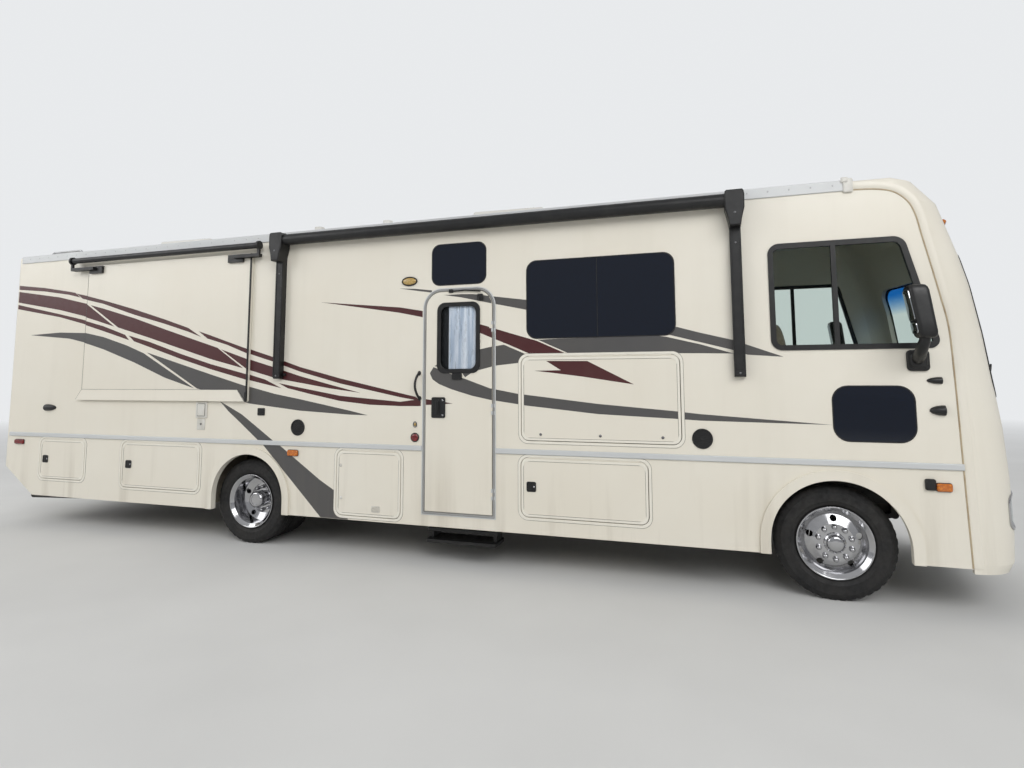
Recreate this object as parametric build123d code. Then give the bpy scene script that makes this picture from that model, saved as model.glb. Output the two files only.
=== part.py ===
from build123d import *
import os
from math import asin, cos, radians, sin, sqrt

# Millimetres. X runs forward, Y to the vehicle's left and Z up from the ground.
# Stations are places along X measured from the front axle, forward positive.

# Driving dimensions of the body
wheelbase = 5791
rear_overhang = 3849
front_overhang = 1440
ladder_reach = 110
body_width = 2550
wall_thickness = 45
roof_thickness = 60
skirt_bottom = 360
wall_joint = 1108
eaves = 3360
roof_edge = 3430
roof_crown = 3500
eaves_radius = 70
seam_depth = 90
departure_rise = 368
departure_run = 551
rear_top_radius = 130
rear_corner_radius = 60
rear_corner_spare = 0.5

# Front cap: the seam line in side view and the plan of its bow
cap_split = 1400
seam_foot = 911
seam_knee = (862, 2120)
seam_head = (660, eaves)
seam_knee_radius = 800
seam_head_radius = 330
roof_front = 200
cap_thickness = 40
cap_bow_radius = 3200
cap_corner_radius = 300
cap_back = -300
cap_spare = 1
cap_inner_spare = 5
cap_top = roof_crown + 5

# Height above ground, and how far the middle of the cap lies behind its foremost point
lower_cap_rake = ((325, 48), (395, 12), (600, 0), (1020, 4), (cap_split, 24))
upper_cap_rake = (
    (cap_split, 24),
    (1775, 68),
    (2140, 112),
    (2525, 174),
    (2770, 233),
    (3205, 361),
    (3400, 520),
    (cap_top, 850),
)

# Floor and chassis
floor_bottom = 1065
floor_thickness = 60
frame_top = 900
frame_depth = 240
frame_half_gauge = 430
frame_flange = 75
frame_web = 9
frame_front = 1080
frame_rear_gap = 120
frame_room = 6

# Wheels
tyre_radius = 455
tyre_width = 236
tread_width = 176
rim_radius = 285
rim_width = 212
barrel_radius = 262
rim_wall = 14
front_track_half = 1070
rear_track_half = 1078
dual_spacing = 290
kingpin_offset = 140
kingpin_radius = 16
spindle_radius = 34
rear_stub_radius = 50
running_gap = 0.4
front_arch_radius = 510
front_arch_centre = (15, 465)
rear_arch_radius = 477
rear_arch_centre = (25, 505)
flare_width = 74
flare_stand = 22

# Doors, windows and slides
door_gap = 6
hinge_bead = 5
close_gap = 0.3
door_corner = 75
door_thickness = 40
slide_flange = 60
slide_plate = 24
slide_seal = 5
slide_wall = 32
slide_clearance = 8
bedroom_travel = 600
galley_travel = 750
slide_hold = 70
ledge_width = 60
ledge_depth = 40

half_width = body_width / 2
inner_face = half_width - wall_thickness
rear_axle_station = -wheelbase
rear_wall = rear_axle_station - rear_overhang
rear_seam = rear_wall + seam_depth
front_axle_x = (ladder_reach - rear_wall - front_overhang) / 2
floor_top = floor_bottom + floor_thickness
right = -1
left = 1


def prism_x(sketch, start, end):
    """Extrusion along X of a sketch drawn in Y and Z."""
    return extrude(Plane.YZ.offset(start) * sketch, amount=end - start, dir=(1, 0, 0))


def prism_y(sketch, start, end):
    """Extrusion along Y of a sketch drawn in X and Z."""
    low = min(start, end)
    return extrude(Plane.XZ.offset(-low) * sketch, amount=abs(end - start), dir=(0, 1, 0))


def prism_z(sketch, start, end):
    """Extrusion along Z of a sketch drawn in X and Y."""
    return extrude(Plane.XY.offset(start) * sketch, amount=end - start, dir=(0, 0, 1))


def block(x, y, z):
    """Block given by its (low, high) along each axis."""
    centre = Pos((x[0] + x[1]) / 2, (y[0] + y[1]) / 2, (z[0] + z[1]) / 2)
    return centre * Box(x[1] - x[0], abs(y[1] - y[0]), z[1] - z[0])


def rod(start, end, radius):
    """Round bar between two points."""
    axis = Vector(end) - Vector(start)
    return Plane(origin=start, z_dir=axis) * extrude(Circle(radius), amount=axis.length)


def panel(start, end, low, high, radius):
    """Rounded rectangle given by its edges."""
    return Pos((start + end) / 2, (low + high) / 2) * RectangleRounded(end - start, high - low, radius)


def shape(points, radii):
    """Closed outline of straight runs, with a fillet radius at each corner."""
    return make_face(FilletPolyline(*points, radius=radii, close=True))


def side_band(side, depth, stand=0):
    """The two Y values of a layer on one side of the body: its inner and outer face."""
    return side * (half_width - depth), side * (half_width + stand)


def save(name, *pieces):
    """Write one sub-part in the vehicle's frame, whose origin is the middle of its box."""
    solids = [Pos(front_axle_x, 0, 0) * solid for piece in pieces for solid in piece.solids()]
    export_step(solids[0] if len(solids) == 1 else Compound(solids), f"parts/{name}.step")


# Outer form of the body, drawn in by an inset for its inner face


def body_section(inset, low):
    """Cross-section in Y and Z: upright sides, rounded eaves and a crowned roof."""
    side = half_width - inset
    edge = roof_edge - inset
    radius = eaves_radius - inset
    bulge = radius * (1 - sqrt(0.5))
    eaves_arc = ThreePointArc((side, edge - radius), (side - bulge, edge - bulge), (side - radius, edge))
    crown = ThreePointArc((side - radius, edge), (0, roof_crown - inset), (radius - side, edge))
    far_arc = ThreePointArc((radius - side, edge), (bulge - side, edge - bulge), (-side, edge - radius))
    base = Polyline((-side, edge - radius), (-side, low), (side, low), (side, edge - radius))
    return make_face(eaves_arc + crown + far_arc + base)


def cap_plan(nose, inset):
    """Plan of the front cap at one height: sides, rounded corners and a bowed front."""
    side = half_width - inset + (cap_inner_spare if inset else cap_spare)
    bow = cap_bow_radius - inset
    corner = cap_corner_radius - inset
    centre = nose - inset - bow
    reach = (side - corner) / (bow - corner)
    corner_x = centre + (bow - corner) * sqrt(1 - reach**2)
    meet = Vector(centre + bow * sqrt(1 - reach**2), bow * reach)
    middle = radians(45) + asin(reach) / 2
    turn = Vector(corner_x + corner * cos(middle), side - corner + corner * sin(middle))
    left_side = Line((cap_back, side), (corner_x, side))
    left_corner = ThreePointArc((corner_x, side), (turn.X, turn.Y), (meet.X, meet.Y))
    front = ThreePointArc((meet.X, meet.Y), (nose - inset, 0), (meet.X, -meet.Y))
    right_corner = ThreePointArc((meet.X, -meet.Y), (turn.X, -turn.Y), (corner_x, -side))
    right_side = Line((corner_x, -side), (cap_back, -side))
    back = Line((cap_back, -side), (cap_back, side))
    return make_face(left_side + left_corner + front + right_corner + right_side + back)


def cap_form(rake, inset):
    """Solid form of one half of the front cap."""
    plans = []
    for height, set_back in rake:
        level = height - inset if height == cap_top else height
        plans.append(Plane.XY.offset(level) * cap_plan(front_overhang - set_back, inset))
    return loft(plans, ruled=True) & prism_x(body_section(inset, 0), cap_back, front_overhang)


def seam_station(height):
    """Station of the cap's seam below its knee."""
    share = (height - skirt_bottom) / (seam_knee[1] - skirt_bottom)
    return seam_foot + share * (seam_knee[0] - seam_foot)


def rear_form(inset):
    """Solid form of the tail: flat back, rounded top and corners, rising underside."""
    back = rear_wall + inset
    forward = rear_wall + 2 * departure_run
    low = skirt_bottom + inset
    points = [
        (forward, roof_crown + 50),
        (back, roof_crown + 50),
        (back, skirt_bottom + departure_rise + inset / 2),
        (rear_wall + departure_run, low),
        (forward, low),
    ]
    profile = prism_y(make_face(Polyline(*points, close=True)), -half_width, half_width)
    side = half_width - inset
    plan_back = back - rear_corner_spare
    plan_side = side + rear_corner_spare
    plan = shape(
        [(forward, -plan_side), (plan_back, -plan_side), (plan_back, plan_side), (forward, plan_side)],
        [0, rear_corner_radius - inset, rear_corner_radius - inset, 0],
    )
    top = shape(
        [(forward, low), (back, low), (back, roof_crown + 20 - inset), (forward, roof_crown + 20 - inset)],
        [0, 0, rear_top_radius - inset, 0],
    )
    form = profile & prism_z(plan, 0, roof_crown + 100)
    form = form & prism_x(body_section(inset, 0), back, forward)
    return form & prism_y(top, -half_width, half_width)


def chamfer_height(station):
    """Height of the rising underside at a station of the tail."""
    share = (rear_wall + departure_run - station) / departure_run
    return skirt_bottom + departure_rise * max(share, 0)


# Openings in the sides: station of the rear edge, width, bottom, top

entry_station = -3660
entry_width = 777
entry_bottom = 468
entry_top = 2700
entry_radius = 200
entry_frame = 32
entry_stand = 7

main_window = (-2570, -1195, 2170, 2920, 100)
transom_window = (-3570, -2984, 2730, 3150, 90)
lower_window = (15, 600, 1280, 1725, 120)
compartment = (-2630, -1167, 1210, 2000)
bedroom_window = (-8150, -7150, 2250, 2850, 100)
galley_window = (-3900, -2100, 2150, 2800, 100)
rear_window = (-600, 600, 2250, 2800, 90)

cab_window_points = [(-417, 2025), (800, 2025), (585, 2920), (-417, 2920)]
cab_window_radii = [85, 60, 95, 85]
cab_frame_width = 38
cab_mullion = 78

# Side, first station, last station, bottom, top
storage_doors = {
    "right_storage_door_1": (right, rear_axle_station - 3199, rear_axle_station - 2429, 570, 1060),
    "right_storage_door_2": (right, rear_axle_station - 1829, rear_axle_station - 649, 530, 1060),
    "right_storage_door_3": (right, rear_axle_station + 1151, rear_axle_station + 1901, 400, 1060),
    "right_storage_door_4": (right, -2636, -1460, 510, 1055),
    "left_storage_door_1": (left, rear_axle_station - 3199, rear_axle_station - 2429, 570, 1060),
    "left_storage_door_2": (left, rear_axle_station - 1829, rear_axle_station - 649, 530, 1060),
    "left_storage_door_3": (left, rear_axle_station + 1151, -2300, 470, 1060),
}

# Outer edges of each slide-out's flange: first station, last station, bottom, top
bedroom_slide = (rear_axle_station - 2516, rear_axle_station + 1, 1550, eaves - 140)
galley_slide = (-4800, -1250, 1170, 3120)
bay_bottom = 375
bay_wall = 12
bay_inner = 560
bay_margin = 30
compartment_depth = 340
compartment_margin = 8


def door_opening(first, last, low, high):
    """Hole for a door that is hinged along its top edge."""
    return panel(first, last, low, high + hinge_bead + close_gap, door_corner)


def slide_opening(first, last, low, high):
    """Hole for a slide-out, covered by the flange all round."""
    cover = slide_flange - slide_clearance
    return panel(first + cover, last - cover, low + cover, high - cover, 12)


def entry_panel(inset):
    """The entry's outline, drawn in by an inset."""
    first = entry_station + inset
    last = entry_station + entry_width - inset
    radius = entry_radius - inset
    low = entry_bottom + inset
    high = entry_top - inset
    return shape([(first, low), (last, low), (last, high), (first, high)], [0, 0, radius, radius])


def cab_window(inset):
    """The cab's side window with its raked front edge."""
    return offset(shape(cab_window_points, cab_window_radii), -inset)


def arch(centre, radius, low=0):
    """Wheel opening: a round top over upright sides."""
    x, z = centre
    return Pos(x, z) * Circle(radius) + Pos(x, (z + low) / 2) * Rectangle(2 * radius, z - low)


def arches():
    """Centre and radius of the front and the rear wheel opening."""
    front_x, front_z = front_arch_centre
    rear_x, rear_z = rear_arch_centre
    return (
        ((front_x, front_z), front_arch_radius),
        ((rear_axle_station + rear_x, rear_z), rear_arch_radius),
    )


# Sides


def wall_outline():
    """Side wall above the belt, up to the eaves and forward to the cap's seam."""
    points = [
        (rear_seam, wall_joint),
        (seam_station(wall_joint), wall_joint),
        seam_knee,
        seam_head,
        (rear_seam, eaves),
    ]
    return shape(points, [0, 0, seam_knee_radius, seam_head_radius, 0])


def skirt_outline():
    """Lower side panel from the tail to the cap's seam."""
    points = [
        (rear_seam, wall_joint),
        (rear_seam, chamfer_height(rear_seam)),
        (rear_wall + departure_run, skirt_bottom),
        (seam_foot, skirt_bottom),
        (seam_station(wall_joint), wall_joint),
    ]
    return make_face(Polyline(*points, close=True))


def slide_ledges(side, edges):
    """Two bars inside the wall that a slide-out's floor runs on."""
    first, last, low, _ = edges
    top = low + slide_flange
    length = bedroom_travel + slide_hold if side == right else galley_travel + slide_hold
    bars = Part()
    for station in (first + 4 * slide_flange, last - 4 * slide_flange):
        bars += block(
            (station - ledge_width / 2, station + ledge_width / 2),
            sorted((side * (inner_face - length), side * (inner_face + 5))),
            (top - ledge_depth, top),
        )
    return bars


def make_walls():
    openings = {
        right: [panel(*main_window), panel(*transom_window), panel(*lower_window),
                door_opening(*compartment), slide_opening(*bedroom_slide), entry_panel(0)],
        left: [slide_opening(*galley_slide), panel(*bedroom_window)],
    }
    for side, name in ((right, "right_wall"), (left, "left_wall")):
        sketch = wall_outline() - cab_window(0)
        for opening in openings[side]:
            sketch -= opening
        wall = prism_y(sketch, *side_band(side, wall_thickness))
        edges = bedroom_slide if side == right else galley_slide
        save(name, wall + slide_ledges(side, edges))


def make_skirts():
    for side, name in ((right, "right_skirt"), (left, "left_skirt")):
        sketch = skirt_outline()
        for centre, radius in arches():
            sketch -= arch(centre, radius)
        for door_side, first, last, low, high in storage_doors.values():
            if door_side == side:
                sketch -= door_opening(first, last, low, high)
        if side == right:
            sketch -= entry_panel(0)
        save(name, prism_y(sketch, *side_band(side, wall_thickness)))


def make_storage_doors():
    """Doors that lift about a bead along their top edge."""
    doors = {**storage_doors, "compartment_door": (right, *compartment)}
    for name, (side, first, last, low, high) in doors.items():
        outline = panel(first + door_gap, last - door_gap, low + door_gap, high, door_corner - door_gap)
        slab = prism_y(outline, *side_band(side, door_thickness))
        axis_y = side * half_width
        bead = rod((first + door_corner, axis_y, high), (last - door_corner, axis_y, high), hinge_bead)
        save(name, slab + bead)


def hinge_knuckles(x, y, levels):
    """Hinge leaves and barrels for the entry door: those of the frame, then those of the door."""
    barrel = 7
    pin = 4
    leaf = 28
    leaf_thickness = 3
    length = 34
    face = y + 8
    fixed = Part()
    moving = Part()
    for level in levels:
        for step in (-1, 0, 1):
            low = level + step * (length + 1) - length / 2
            tube = rod((x, y, low), (x, y, low + length), barrel)
            if step == 0:
                bore = rod((x, y, low), (x, y, low + length), pin + close_gap)
                moving += tube + block((x - leaf, x), (face - leaf_thickness, face), (low, low + length)) - bore
            else:
                fixed += tube + block((x, x + leaf), (face - leaf_thickness, face), (low, low + length))
        fixed += rod((x, y, level - length), (x, y, level + length), pin)
    return fixed, moving


entry_hinge_x = entry_station + entry_width - entry_frame - door_gap / 2
entry_hinge_y = -(half_width + entry_stand + 8)
entry_hinge_levels = (700, 1500, 2300)
door_window = (-3490, -3056, 1860, 2540, 70)
door_window_frame = 30
door_window_lip = 12


def make_entry():
    """Entry door with its window; the frame goes with the mouldings."""
    _, moving = hinge_knuckles(entry_hinge_x, entry_hinge_y, entry_hinge_levels)
    outline = entry_panel(entry_frame + door_gap) - panel(*door_window)
    slab = prism_y(outline, *side_band(right, door_thickness, entry_stand))
    save("entry_door", slab + moving)
    first, last, low, high, radius = door_window
    lip = door_window_lip
    width = door_window_frame
    outside = panel(first - lip, last + lip, low - lip, high + lip, radius + lip)
    frame = outside - panel(first + width, last - width, low + width, high - width, radius / 2)
    ring = prism_y(frame, *side_band(right, -entry_stand, entry_stand + lip))
    inner = panel(*door_window)
    pane = prism_y(inner, *side_band(right, 8 - entry_stand, entry_stand))
    save("entry_door_window", ring + pane)


belt_stand = 16
belt_half = 25
belt_round = 9
rail_stand = 12
rail_low = eaves - 26
rail_high = roof_edge - 4


def make_mouldings():
    """Belt and eaves mouldings with the entry's frame and its hinge leaves."""
    pieces = []
    for side in (right, left):
        belt = shape(
            [(0, -belt_half), (belt_stand, -belt_half), (belt_stand, belt_half), (0, belt_half)],
            [0, belt_round, belt_round, 0],
        )
        belt = Pos(half_width, wall_joint) * belt
        rail = shape(
            [(0, rail_low), (rail_stand, rail_low), (rail_stand, rail_high), (0, rail_high)],
            [0, 5, 8, 0],
        )
        rail = Pos(half_width, 0) * rail
        runs = [(rear_seam, seam_station(wall_joint))]
        if side == right:
            belt = mirror(belt, about=Plane.YZ)
            rail = mirror(rail, about=Plane.YZ)
            runs = [
                (rear_seam, entry_station - close_gap),
                (entry_station + entry_width + close_gap, seam_station(wall_joint)),
            ]
        for start, end in runs:
            pieces.append(prism_x(belt, start, end))
        pieces.append(prism_x(rail, rear_seam, roof_front))
    fixed, _ = hinge_knuckles(entry_hinge_x, entry_hinge_y, entry_hinge_levels)
    frame = prism_y(entry_panel(0) - entry_panel(entry_frame), *side_band(right, wall_thickness, entry_stand))
    save("mouldings", *pieces, frame + fixed)


def make_arch_flares():
    flares = []
    for side in (right, left):
        for centre, radius in arches():
            low = skirt_bottom
            outer = arch(centre, radius + flare_width, low)
            inner = arch(centre, radius, low)
            lip = arch(centre, radius, low) - arch(centre, radius - 6, low)
            flare = prism_y(outer - inner, *side_band(side, 0, flare_stand))
            flare += prism_y(lip, *side_band(side, wall_thickness, flare_stand))
            below = block((rear_wall, front_overhang), (-body_width, body_width), (-half_width, skirt_bottom))
            flares.append(flare - below)
    save("arch_flares", *flares)


# Roof, tail and front cap


def make_roof():
    band = body_section(0, 0) - body_section(roof_thickness, 0)
    above = block((rear_seam, roof_front), (-half_width, half_width), (eaves, roof_crown))
    save("roof", prism_x(band, rear_seam, roof_front) & above)


def make_rear_cap():
    shell = rear_form(0) - rear_form(wall_thickness)
    tail = shell & block((rear_wall - 10, rear_seam), (-half_width, half_width), (0, roof_crown + 10))
    valance_z = (0, skirt_bottom + departure_rise + 60)
    valance = shell & block((rear_seam, rear_wall + departure_run), (-inner_face, inner_face), valance_z)
    window = prism_x(panel(*rear_window), rear_wall - 10, rear_wall + 100)
    slot = receiver_outer / 2 + 12
    hitch_slot = block((rear_wall, rear_wall + departure_run), (-slot, slot), (0, receiver_height + slot))
    room = frame_half_gauge + frame_room
    frame_back = rear_wall + frame_rear_gap - frame_room
    frame_opening = block((frame_back, rear_wall + departure_run), (-room, room), (0, frame_top))
    save("rear_cap", tail + valance - window - hitch_slot - frame_opening)


def cap_region():
    """Side view of everything forward of the cap's seam."""
    points = [
        (seam_station(0), 0),
        seam_knee,
        seam_head,
        (roof_front, eaves),
        (roof_front, roof_crown + 100),
        (front_overhang + 100, roof_crown + 100),
        (front_overhang + 100, 0),
    ]
    return shape(points, [0, seam_knee_radius, seam_head_radius, 0, 0, 0, 0])


windshield_low = 1640
windshield_high = 2790
windshield_half = 1120
windshield_post = 30
glass_thickness = 8
grille_half = 560
grille_low = 640
grille_high = 880
grille_bars = 5
grille_bar = 22
grille_upright = 12
grille_pitch = 160
hood_half = 640
hood_low = 960
hood_high = 1375
hood_corner = 50
headlamp_inner = 700
headlamp_outer = 1180
headlamp_low = 640
headlamp_high = 900


def windshield_panel(inset):
    """Outline of the windshield seen from the front."""
    half = windshield_half - inset
    low = windshield_low + inset
    high = windshield_high - inset
    return shape([(-half, low), (half, low), (half - 40, high), (40 - half, high)], [130, 130, 120, 120])


def make_upper_cap(outer, inner):
    shell = (outer - inner) & prism_y(cap_region(), -half_width, half_width)
    opening = prism_x(windshield_panel(0), 400, front_overhang + 10)
    save("front_cap_upper", shell - opening)


def make_windshield(outer):
    glass = outer & prism_x(windshield_panel(0), 700, front_overhang + 10)
    glass = glass - cap_form(upper_cap_rake, glass_thickness)
    post = block((0, 2000), (-windshield_post / 2, windshield_post / 2), (0, 4000))
    save("windshield", glass - post)


def make_lower_cap(outer, inner):
    """Lower cap with its holes, and the hood, grille and headlamps that fill them."""
    shell = outer - inner
    sides = shell & prism_y(cap_region(), -half_width, half_width)
    front = (400, front_overhang + 10)
    hood_hole = panel(-hood_half, hood_half, hood_low, hood_high, hood_corner)
    grille_hole = panel(-grille_half, grille_half, grille_low, grille_high, 40)
    cap = sides - prism_x(hood_hole, *front) - prism_x(grille_hole, *front)
    lamps = []
    for side in (right, left):
        edges = sorted((side * headlamp_inner, side * headlamp_outer))
        lamp_hole = panel(*edges, headlamp_low, headlamp_high, 60)
        cap -= prism_x(lamp_hole, *front)
        lamps.append(shell & prism_x(lamp_hole, *front))
    save("front_cap_lower", cap)
    save("headlamps", *lamps)
    lid_half = hood_half - door_gap
    lid = panel(-lid_half, lid_half, hood_low + door_gap, hood_high - door_gap, hood_corner - door_gap)
    hood = shell & prism_x(lid, *front)
    save("hood", hood)
    pitch = (grille_high - grille_low) / grille_bars
    bars = Part()
    for index in range(grille_bars):
        low = grille_low + (index + 0.5) * pitch - grille_bar / 2
        bars += prism_x(panel(-grille_half, grille_half, low, low + grille_bar, 4), *front)
    for index in range(-3, 4):
        middle = index * grille_pitch
        upright = panel(middle - grille_upright / 2, middle + grille_upright / 2, grille_low, grille_high, 2)
        bars += prism_x(upright, *front)
    save("grille", shell & (bars & prism_x(grille_hole, *front)))


def make_glass():
    """Fixed panes of the body, and the black frames of the cab's windows."""
    panes = []
    pane_stand = 2
    for side, edges in (
        (right, main_window),
        (right, transom_window),
        (right, lower_window),
        (left, bedroom_window),
    ):
        panes.append(prism_y(panel(*edges), *side_band(side, glass_thickness, pane_stand)))
    frames = []
    for side in (right, left):
        inside = cab_window(cab_frame_width)
        mullion = Pos(cab_mullion, 2472) * Rectangle(cab_frame_width, 860)
        bars = cab_window(-6) - inside + (mullion & cab_window(cab_frame_width / 2))
        frame = prism_y(cab_window(0) & bars, *side_band(side, 30, 0))
        frame += prism_y(bars, *side_band(side, 0, 9))
        frames.append(frame)
        pane = prism_y(inside, *side_band(side, 18, -10)) - frame
        panes.append(pane)
    panes.append(prism_x(panel(*rear_window), rear_wall - 2, rear_wall + glass_thickness))
    save("window_glass", *panes)
    save("window_frames", *frames)


# Slide-outs


def slide_shell(side, edges, depth, window=None):
    """Open box of a slide-out: outer plate with its flange, four walls and no inner face."""
    first, last, low, high = edges
    cover = slide_flange
    box = panel(first + cover, last - cover, low + cover + close_gap, high - cover, 8)
    room = offset(box, -slide_wall)
    plate = panel(first, last, low, high, 14)
    if window:
        plate -= panel(*window)
    shell = prism_y(plate, *side_band(side, -slide_seal, slide_seal + slide_plate))
    shell += prism_y(box - room, *side_band(side, depth, slide_seal))
    backing = room - panel(*window) if window else room
    shell += prism_y(backing, *side_band(side, slide_wall, slide_seal))
    return shell


topper_ends = (rear_axle_station - 2740, rear_axle_station + 147)
topper_radius = 34
topper_height = eaves - 73
topper_cap = 26
topper_cap_lip = 14
topper_stand = 50
bracket_length = 207
bracket_depth = 30
bracket_low = 100
bracket_high = 12
bracket_rear = 50
bracket_front = 110
bracket_arm = (60, 24)
bracket_arm_half = 14
pane_recess = 10


def make_slides():
    bedroom_depth = bedroom_travel + slide_hold
    save("bedroom_slide", slide_shell(right, bedroom_slide, bedroom_depth))
    galley_depth = galley_travel + slide_hold
    save("galley_slide", slide_shell(left, galley_slide, galley_depth, galley_window))
    stand = slide_seal + slide_plate
    pane = prism_y(panel(*galley_window), *side_band(left, pane_recess - stand, stand + 1))
    save("galley_slide_window", pane)


def make_topper():
    """Roller of the fabric roof over the bedroom slide-out, with its end caps and brackets."""
    face = half_width + slide_seal + slide_plate
    roller_y = -(half_width + topper_stand + topper_radius)
    start, end = topper_ends
    topper = rod((start, roller_y, topper_height), (end, roller_y, topper_height), topper_radius)
    for station in (start, end - topper_cap):
        ends = (station, roller_y, topper_height), (station + topper_cap, roller_y, topper_height)
        topper += rod(*ends, topper_radius + topper_cap_lip)
    first, last, _, high = bedroom_slide
    arm_y = (roller_y - bracket_arm_half, roller_y + bracket_arm_half)
    for inner, outer in ((first + bracket_rear, start), (last - bracket_length - bracket_front, end)):
        rear_end = outer < inner
        plate_z = (high - bracket_low, high - bracket_high)
        plate = block((inner, inner + bracket_length), (-face - bracket_depth, -face), plate_z)
        reach = sorted((inner + bracket_length / 2, outer + topper_cap / 2 * (1 if rear_end else -1)))
        arm = block(reach, (arm_y[0], -face - 1), (high - bracket_arm[0], high - bracket_arm[1]))
        tie_x = outer if rear_end else outer - topper_cap
        tie = block((tie_x, tie_x + topper_cap), arm_y, (high - bracket_arm[0], topper_height))
        topper += plate + arm + tie
    save("slide_topper", topper)


# Awning, mirrors, lamps and roof units

awning_ends = (-5460, -602)
awning_radius = 60
awning_stand = 26
awning_height = eaves - 42
awning_head = 150
awning_head_lip = 12
awning_arm = 92
awning_arm_depth = 68
awning_arm_inset = 29
awning_arm_low = 1800
awning_arm_round = 30


def make_awning():
    """Rolled patio awning under the eaves with its two upright arms."""
    first, last = awning_ends
    axis_y = -(half_width + awning_stand + awning_radius)
    roll = rod((first, axis_y, awning_height), (last, axis_y, awning_height), awning_radius)
    for station in (first, last - awning_head):
        ends = (station, axis_y, awning_height), (station + awning_head, axis_y, awning_height)
        roll += rod(*ends, awning_radius + awning_head_lip)
    arms = []
    for station in (first + awning_arm_inset, last - awning_arm_inset - awning_arm):
        profile = shape(
            [
                (-awning_arm_depth, awning_arm_low),
                (0, awning_arm_low),
                (0, awning_height),
                (-awning_arm_depth, awning_height),
            ],
            [awning_arm_round, 0, 0, 0],
        )
        arms.append(prism_x(Pos(-half_width, 0) * profile, station, station + awning_arm) - roll)
    save("awning", roll, *arms)


mirror_station = 633
mirror_foot = (1840, 2007)
mirror_foot_half = 78
mirror_foot_stand = 22
mirror_arm_radius = 24
mirror_head_y = (half_width + 180, half_width + 350)
mirror_head_x = (520, 665)
mirror_head_z = (2085, 2478)
mirror_head_round = 45


def make_mirrors():
    mirrors = []
    for side in (right, left):
        low, high = mirror_foot
        outline = panel(mirror_station - mirror_foot_half, mirror_station + mirror_foot_half, low, high, 30)
        foot = prism_y(outline, *side_band(side, 0, mirror_foot_stand))
        start = (mirror_station, side * (half_width + mirror_foot_stand - 4), (low + high) / 2)
        elbow = (mirror_station - 20, side * (mirror_head_y[0] + 20), mirror_head_z[0] + 15)
        arm = rod(start, elbow, mirror_arm_radius)
        head = block(mirror_head_x, sorted((side * mirror_head_y[0], side * mirror_head_y[1])), mirror_head_z)
        head = fillet(head.edges().filter_by(Axis.Z), mirror_head_round)
        head = fillet(head.faces().sort_by(Axis.Z)[-1].edges(), 18)
        mirrors.append(foot + arm + head)
    save("mirrors", *mirrors)


# First and last station, bottom and top of the lamps on the sides
side_lamps = (
    (700, 804, 922, 982),
    (rear_axle_station + 543, rear_axle_station + 672, 980, 1040),
    (rear_wall + 198, rear_wall + 354, 984, 1040),
)
side_lamp_stand = 26
lamp_round = 14
tail_lamp = (1010, 1190, 1250, 1850)
tail_lamp_stand = 30
clearance_lamps = 5
clearance_lamp_pitch = 300
clearance_lamp_half = 60
clearance_lamp = (eaves - 70, eaves - 30)
clearance_lamp_stand = 24


def make_lamps():
    """Side markers, tail lamps and the clearance lamps over the rear window."""
    lamps = []
    inner, outer, low, high = tail_lamp
    for side in (right, left):
        for edges in side_lamps:
            lamps.append(prism_y(panel(*edges, lamp_round), *side_band(side, 0, side_lamp_stand)))
        outline = panel(*sorted((side * inner, side * outer)), low, high, 2 * lamp_round)
        lamps.append(prism_x(outline, rear_wall - tail_lamp_stand, rear_wall))
    for index in range(clearance_lamps):
        middle = (index - (clearance_lamps - 1) / 2) * clearance_lamp_pitch
        outline = panel(middle - clearance_lamp_half, middle + clearance_lamp_half, *clearance_lamp, lamp_round)
        lamps.append(prism_x(outline, rear_wall - clearance_lamp_stand, rear_wall))
    save("lamps", *lamps)


roof_sink = 28
cooler_stations = (rear_axle_station - 2109, -3100)
cooler_half_length = 480
cooler_rear_half = 350
cooler_front_half = 300
cooler_height = 290
cooler_taper = 12
vent_places = ((rear_axle_station - 709, 150), (-4700, -250), (-1300, 200))
vent_side = 460
vent_height = 110
vent_taper = 8
pipe_places = ((-5200, -900), (-4300, -900))
pipe_radius = 55
pipe_rise = 60


def make_roof_units():
    """Two air conditioners, three vents and two pipes on the crowned roof."""
    units = []
    seat = roof_crown - roof_sink
    for station in cooler_stations:
        rear, front = station - cooler_half_length, station + cooler_half_length
        base = shape(
            [
                (rear, -cooler_rear_half),
                (front, -cooler_front_half),
                (front, cooler_front_half),
                (rear, cooler_rear_half),
            ],
            [90, 90, 90, 90],
        )
        cover = extrude(Plane.XY.offset(seat) * base, amount=cooler_height, taper=cooler_taper)
        top = cover.faces().sort_by(Axis.Z)[-1]
        units.append(fillet(top.edges(), 25) - roof_solid())
    for station, offset_y in vent_places:
        base = Pos(station, offset_y) * RectangleRounded(vent_side, vent_side, 50)
        units.append(extrude(Plane.XY.offset(seat) * base, amount=vent_height, taper=vent_taper) - roof_solid())
    for station, offset_y in pipe_places:
        ends = (station, offset_y, roof_edge - 20), (station, offset_y, roof_crown + pipe_rise)
        units.append(rod(*ends, pipe_radius) - roof_solid())
    save("roof_units", *units)


def roof_solid():
    """The whole body below the roof's outer face."""
    return prism_x(body_section(0, 0), rear_seam, roof_front)


def roof_height(y):
    """Height of the crowned roof at a distance from the middle."""
    rise = roof_crown - roof_edge
    chord = half_width - eaves_radius
    radius = (chord**2 + rise**2) / (2 * rise)
    return roof_crown - radius + sqrt(radius**2 - y**2)


ladder_bar = 13
ladder_centre = -600
ladder_half = 190
ladder_foot = 1300
ladder_first_rung = 1420
ladder_rungs = 7
ladder_pitch = 310
ladder_rise = 90
ladder_roof_reach = 500
ladder_bend = 60


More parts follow.
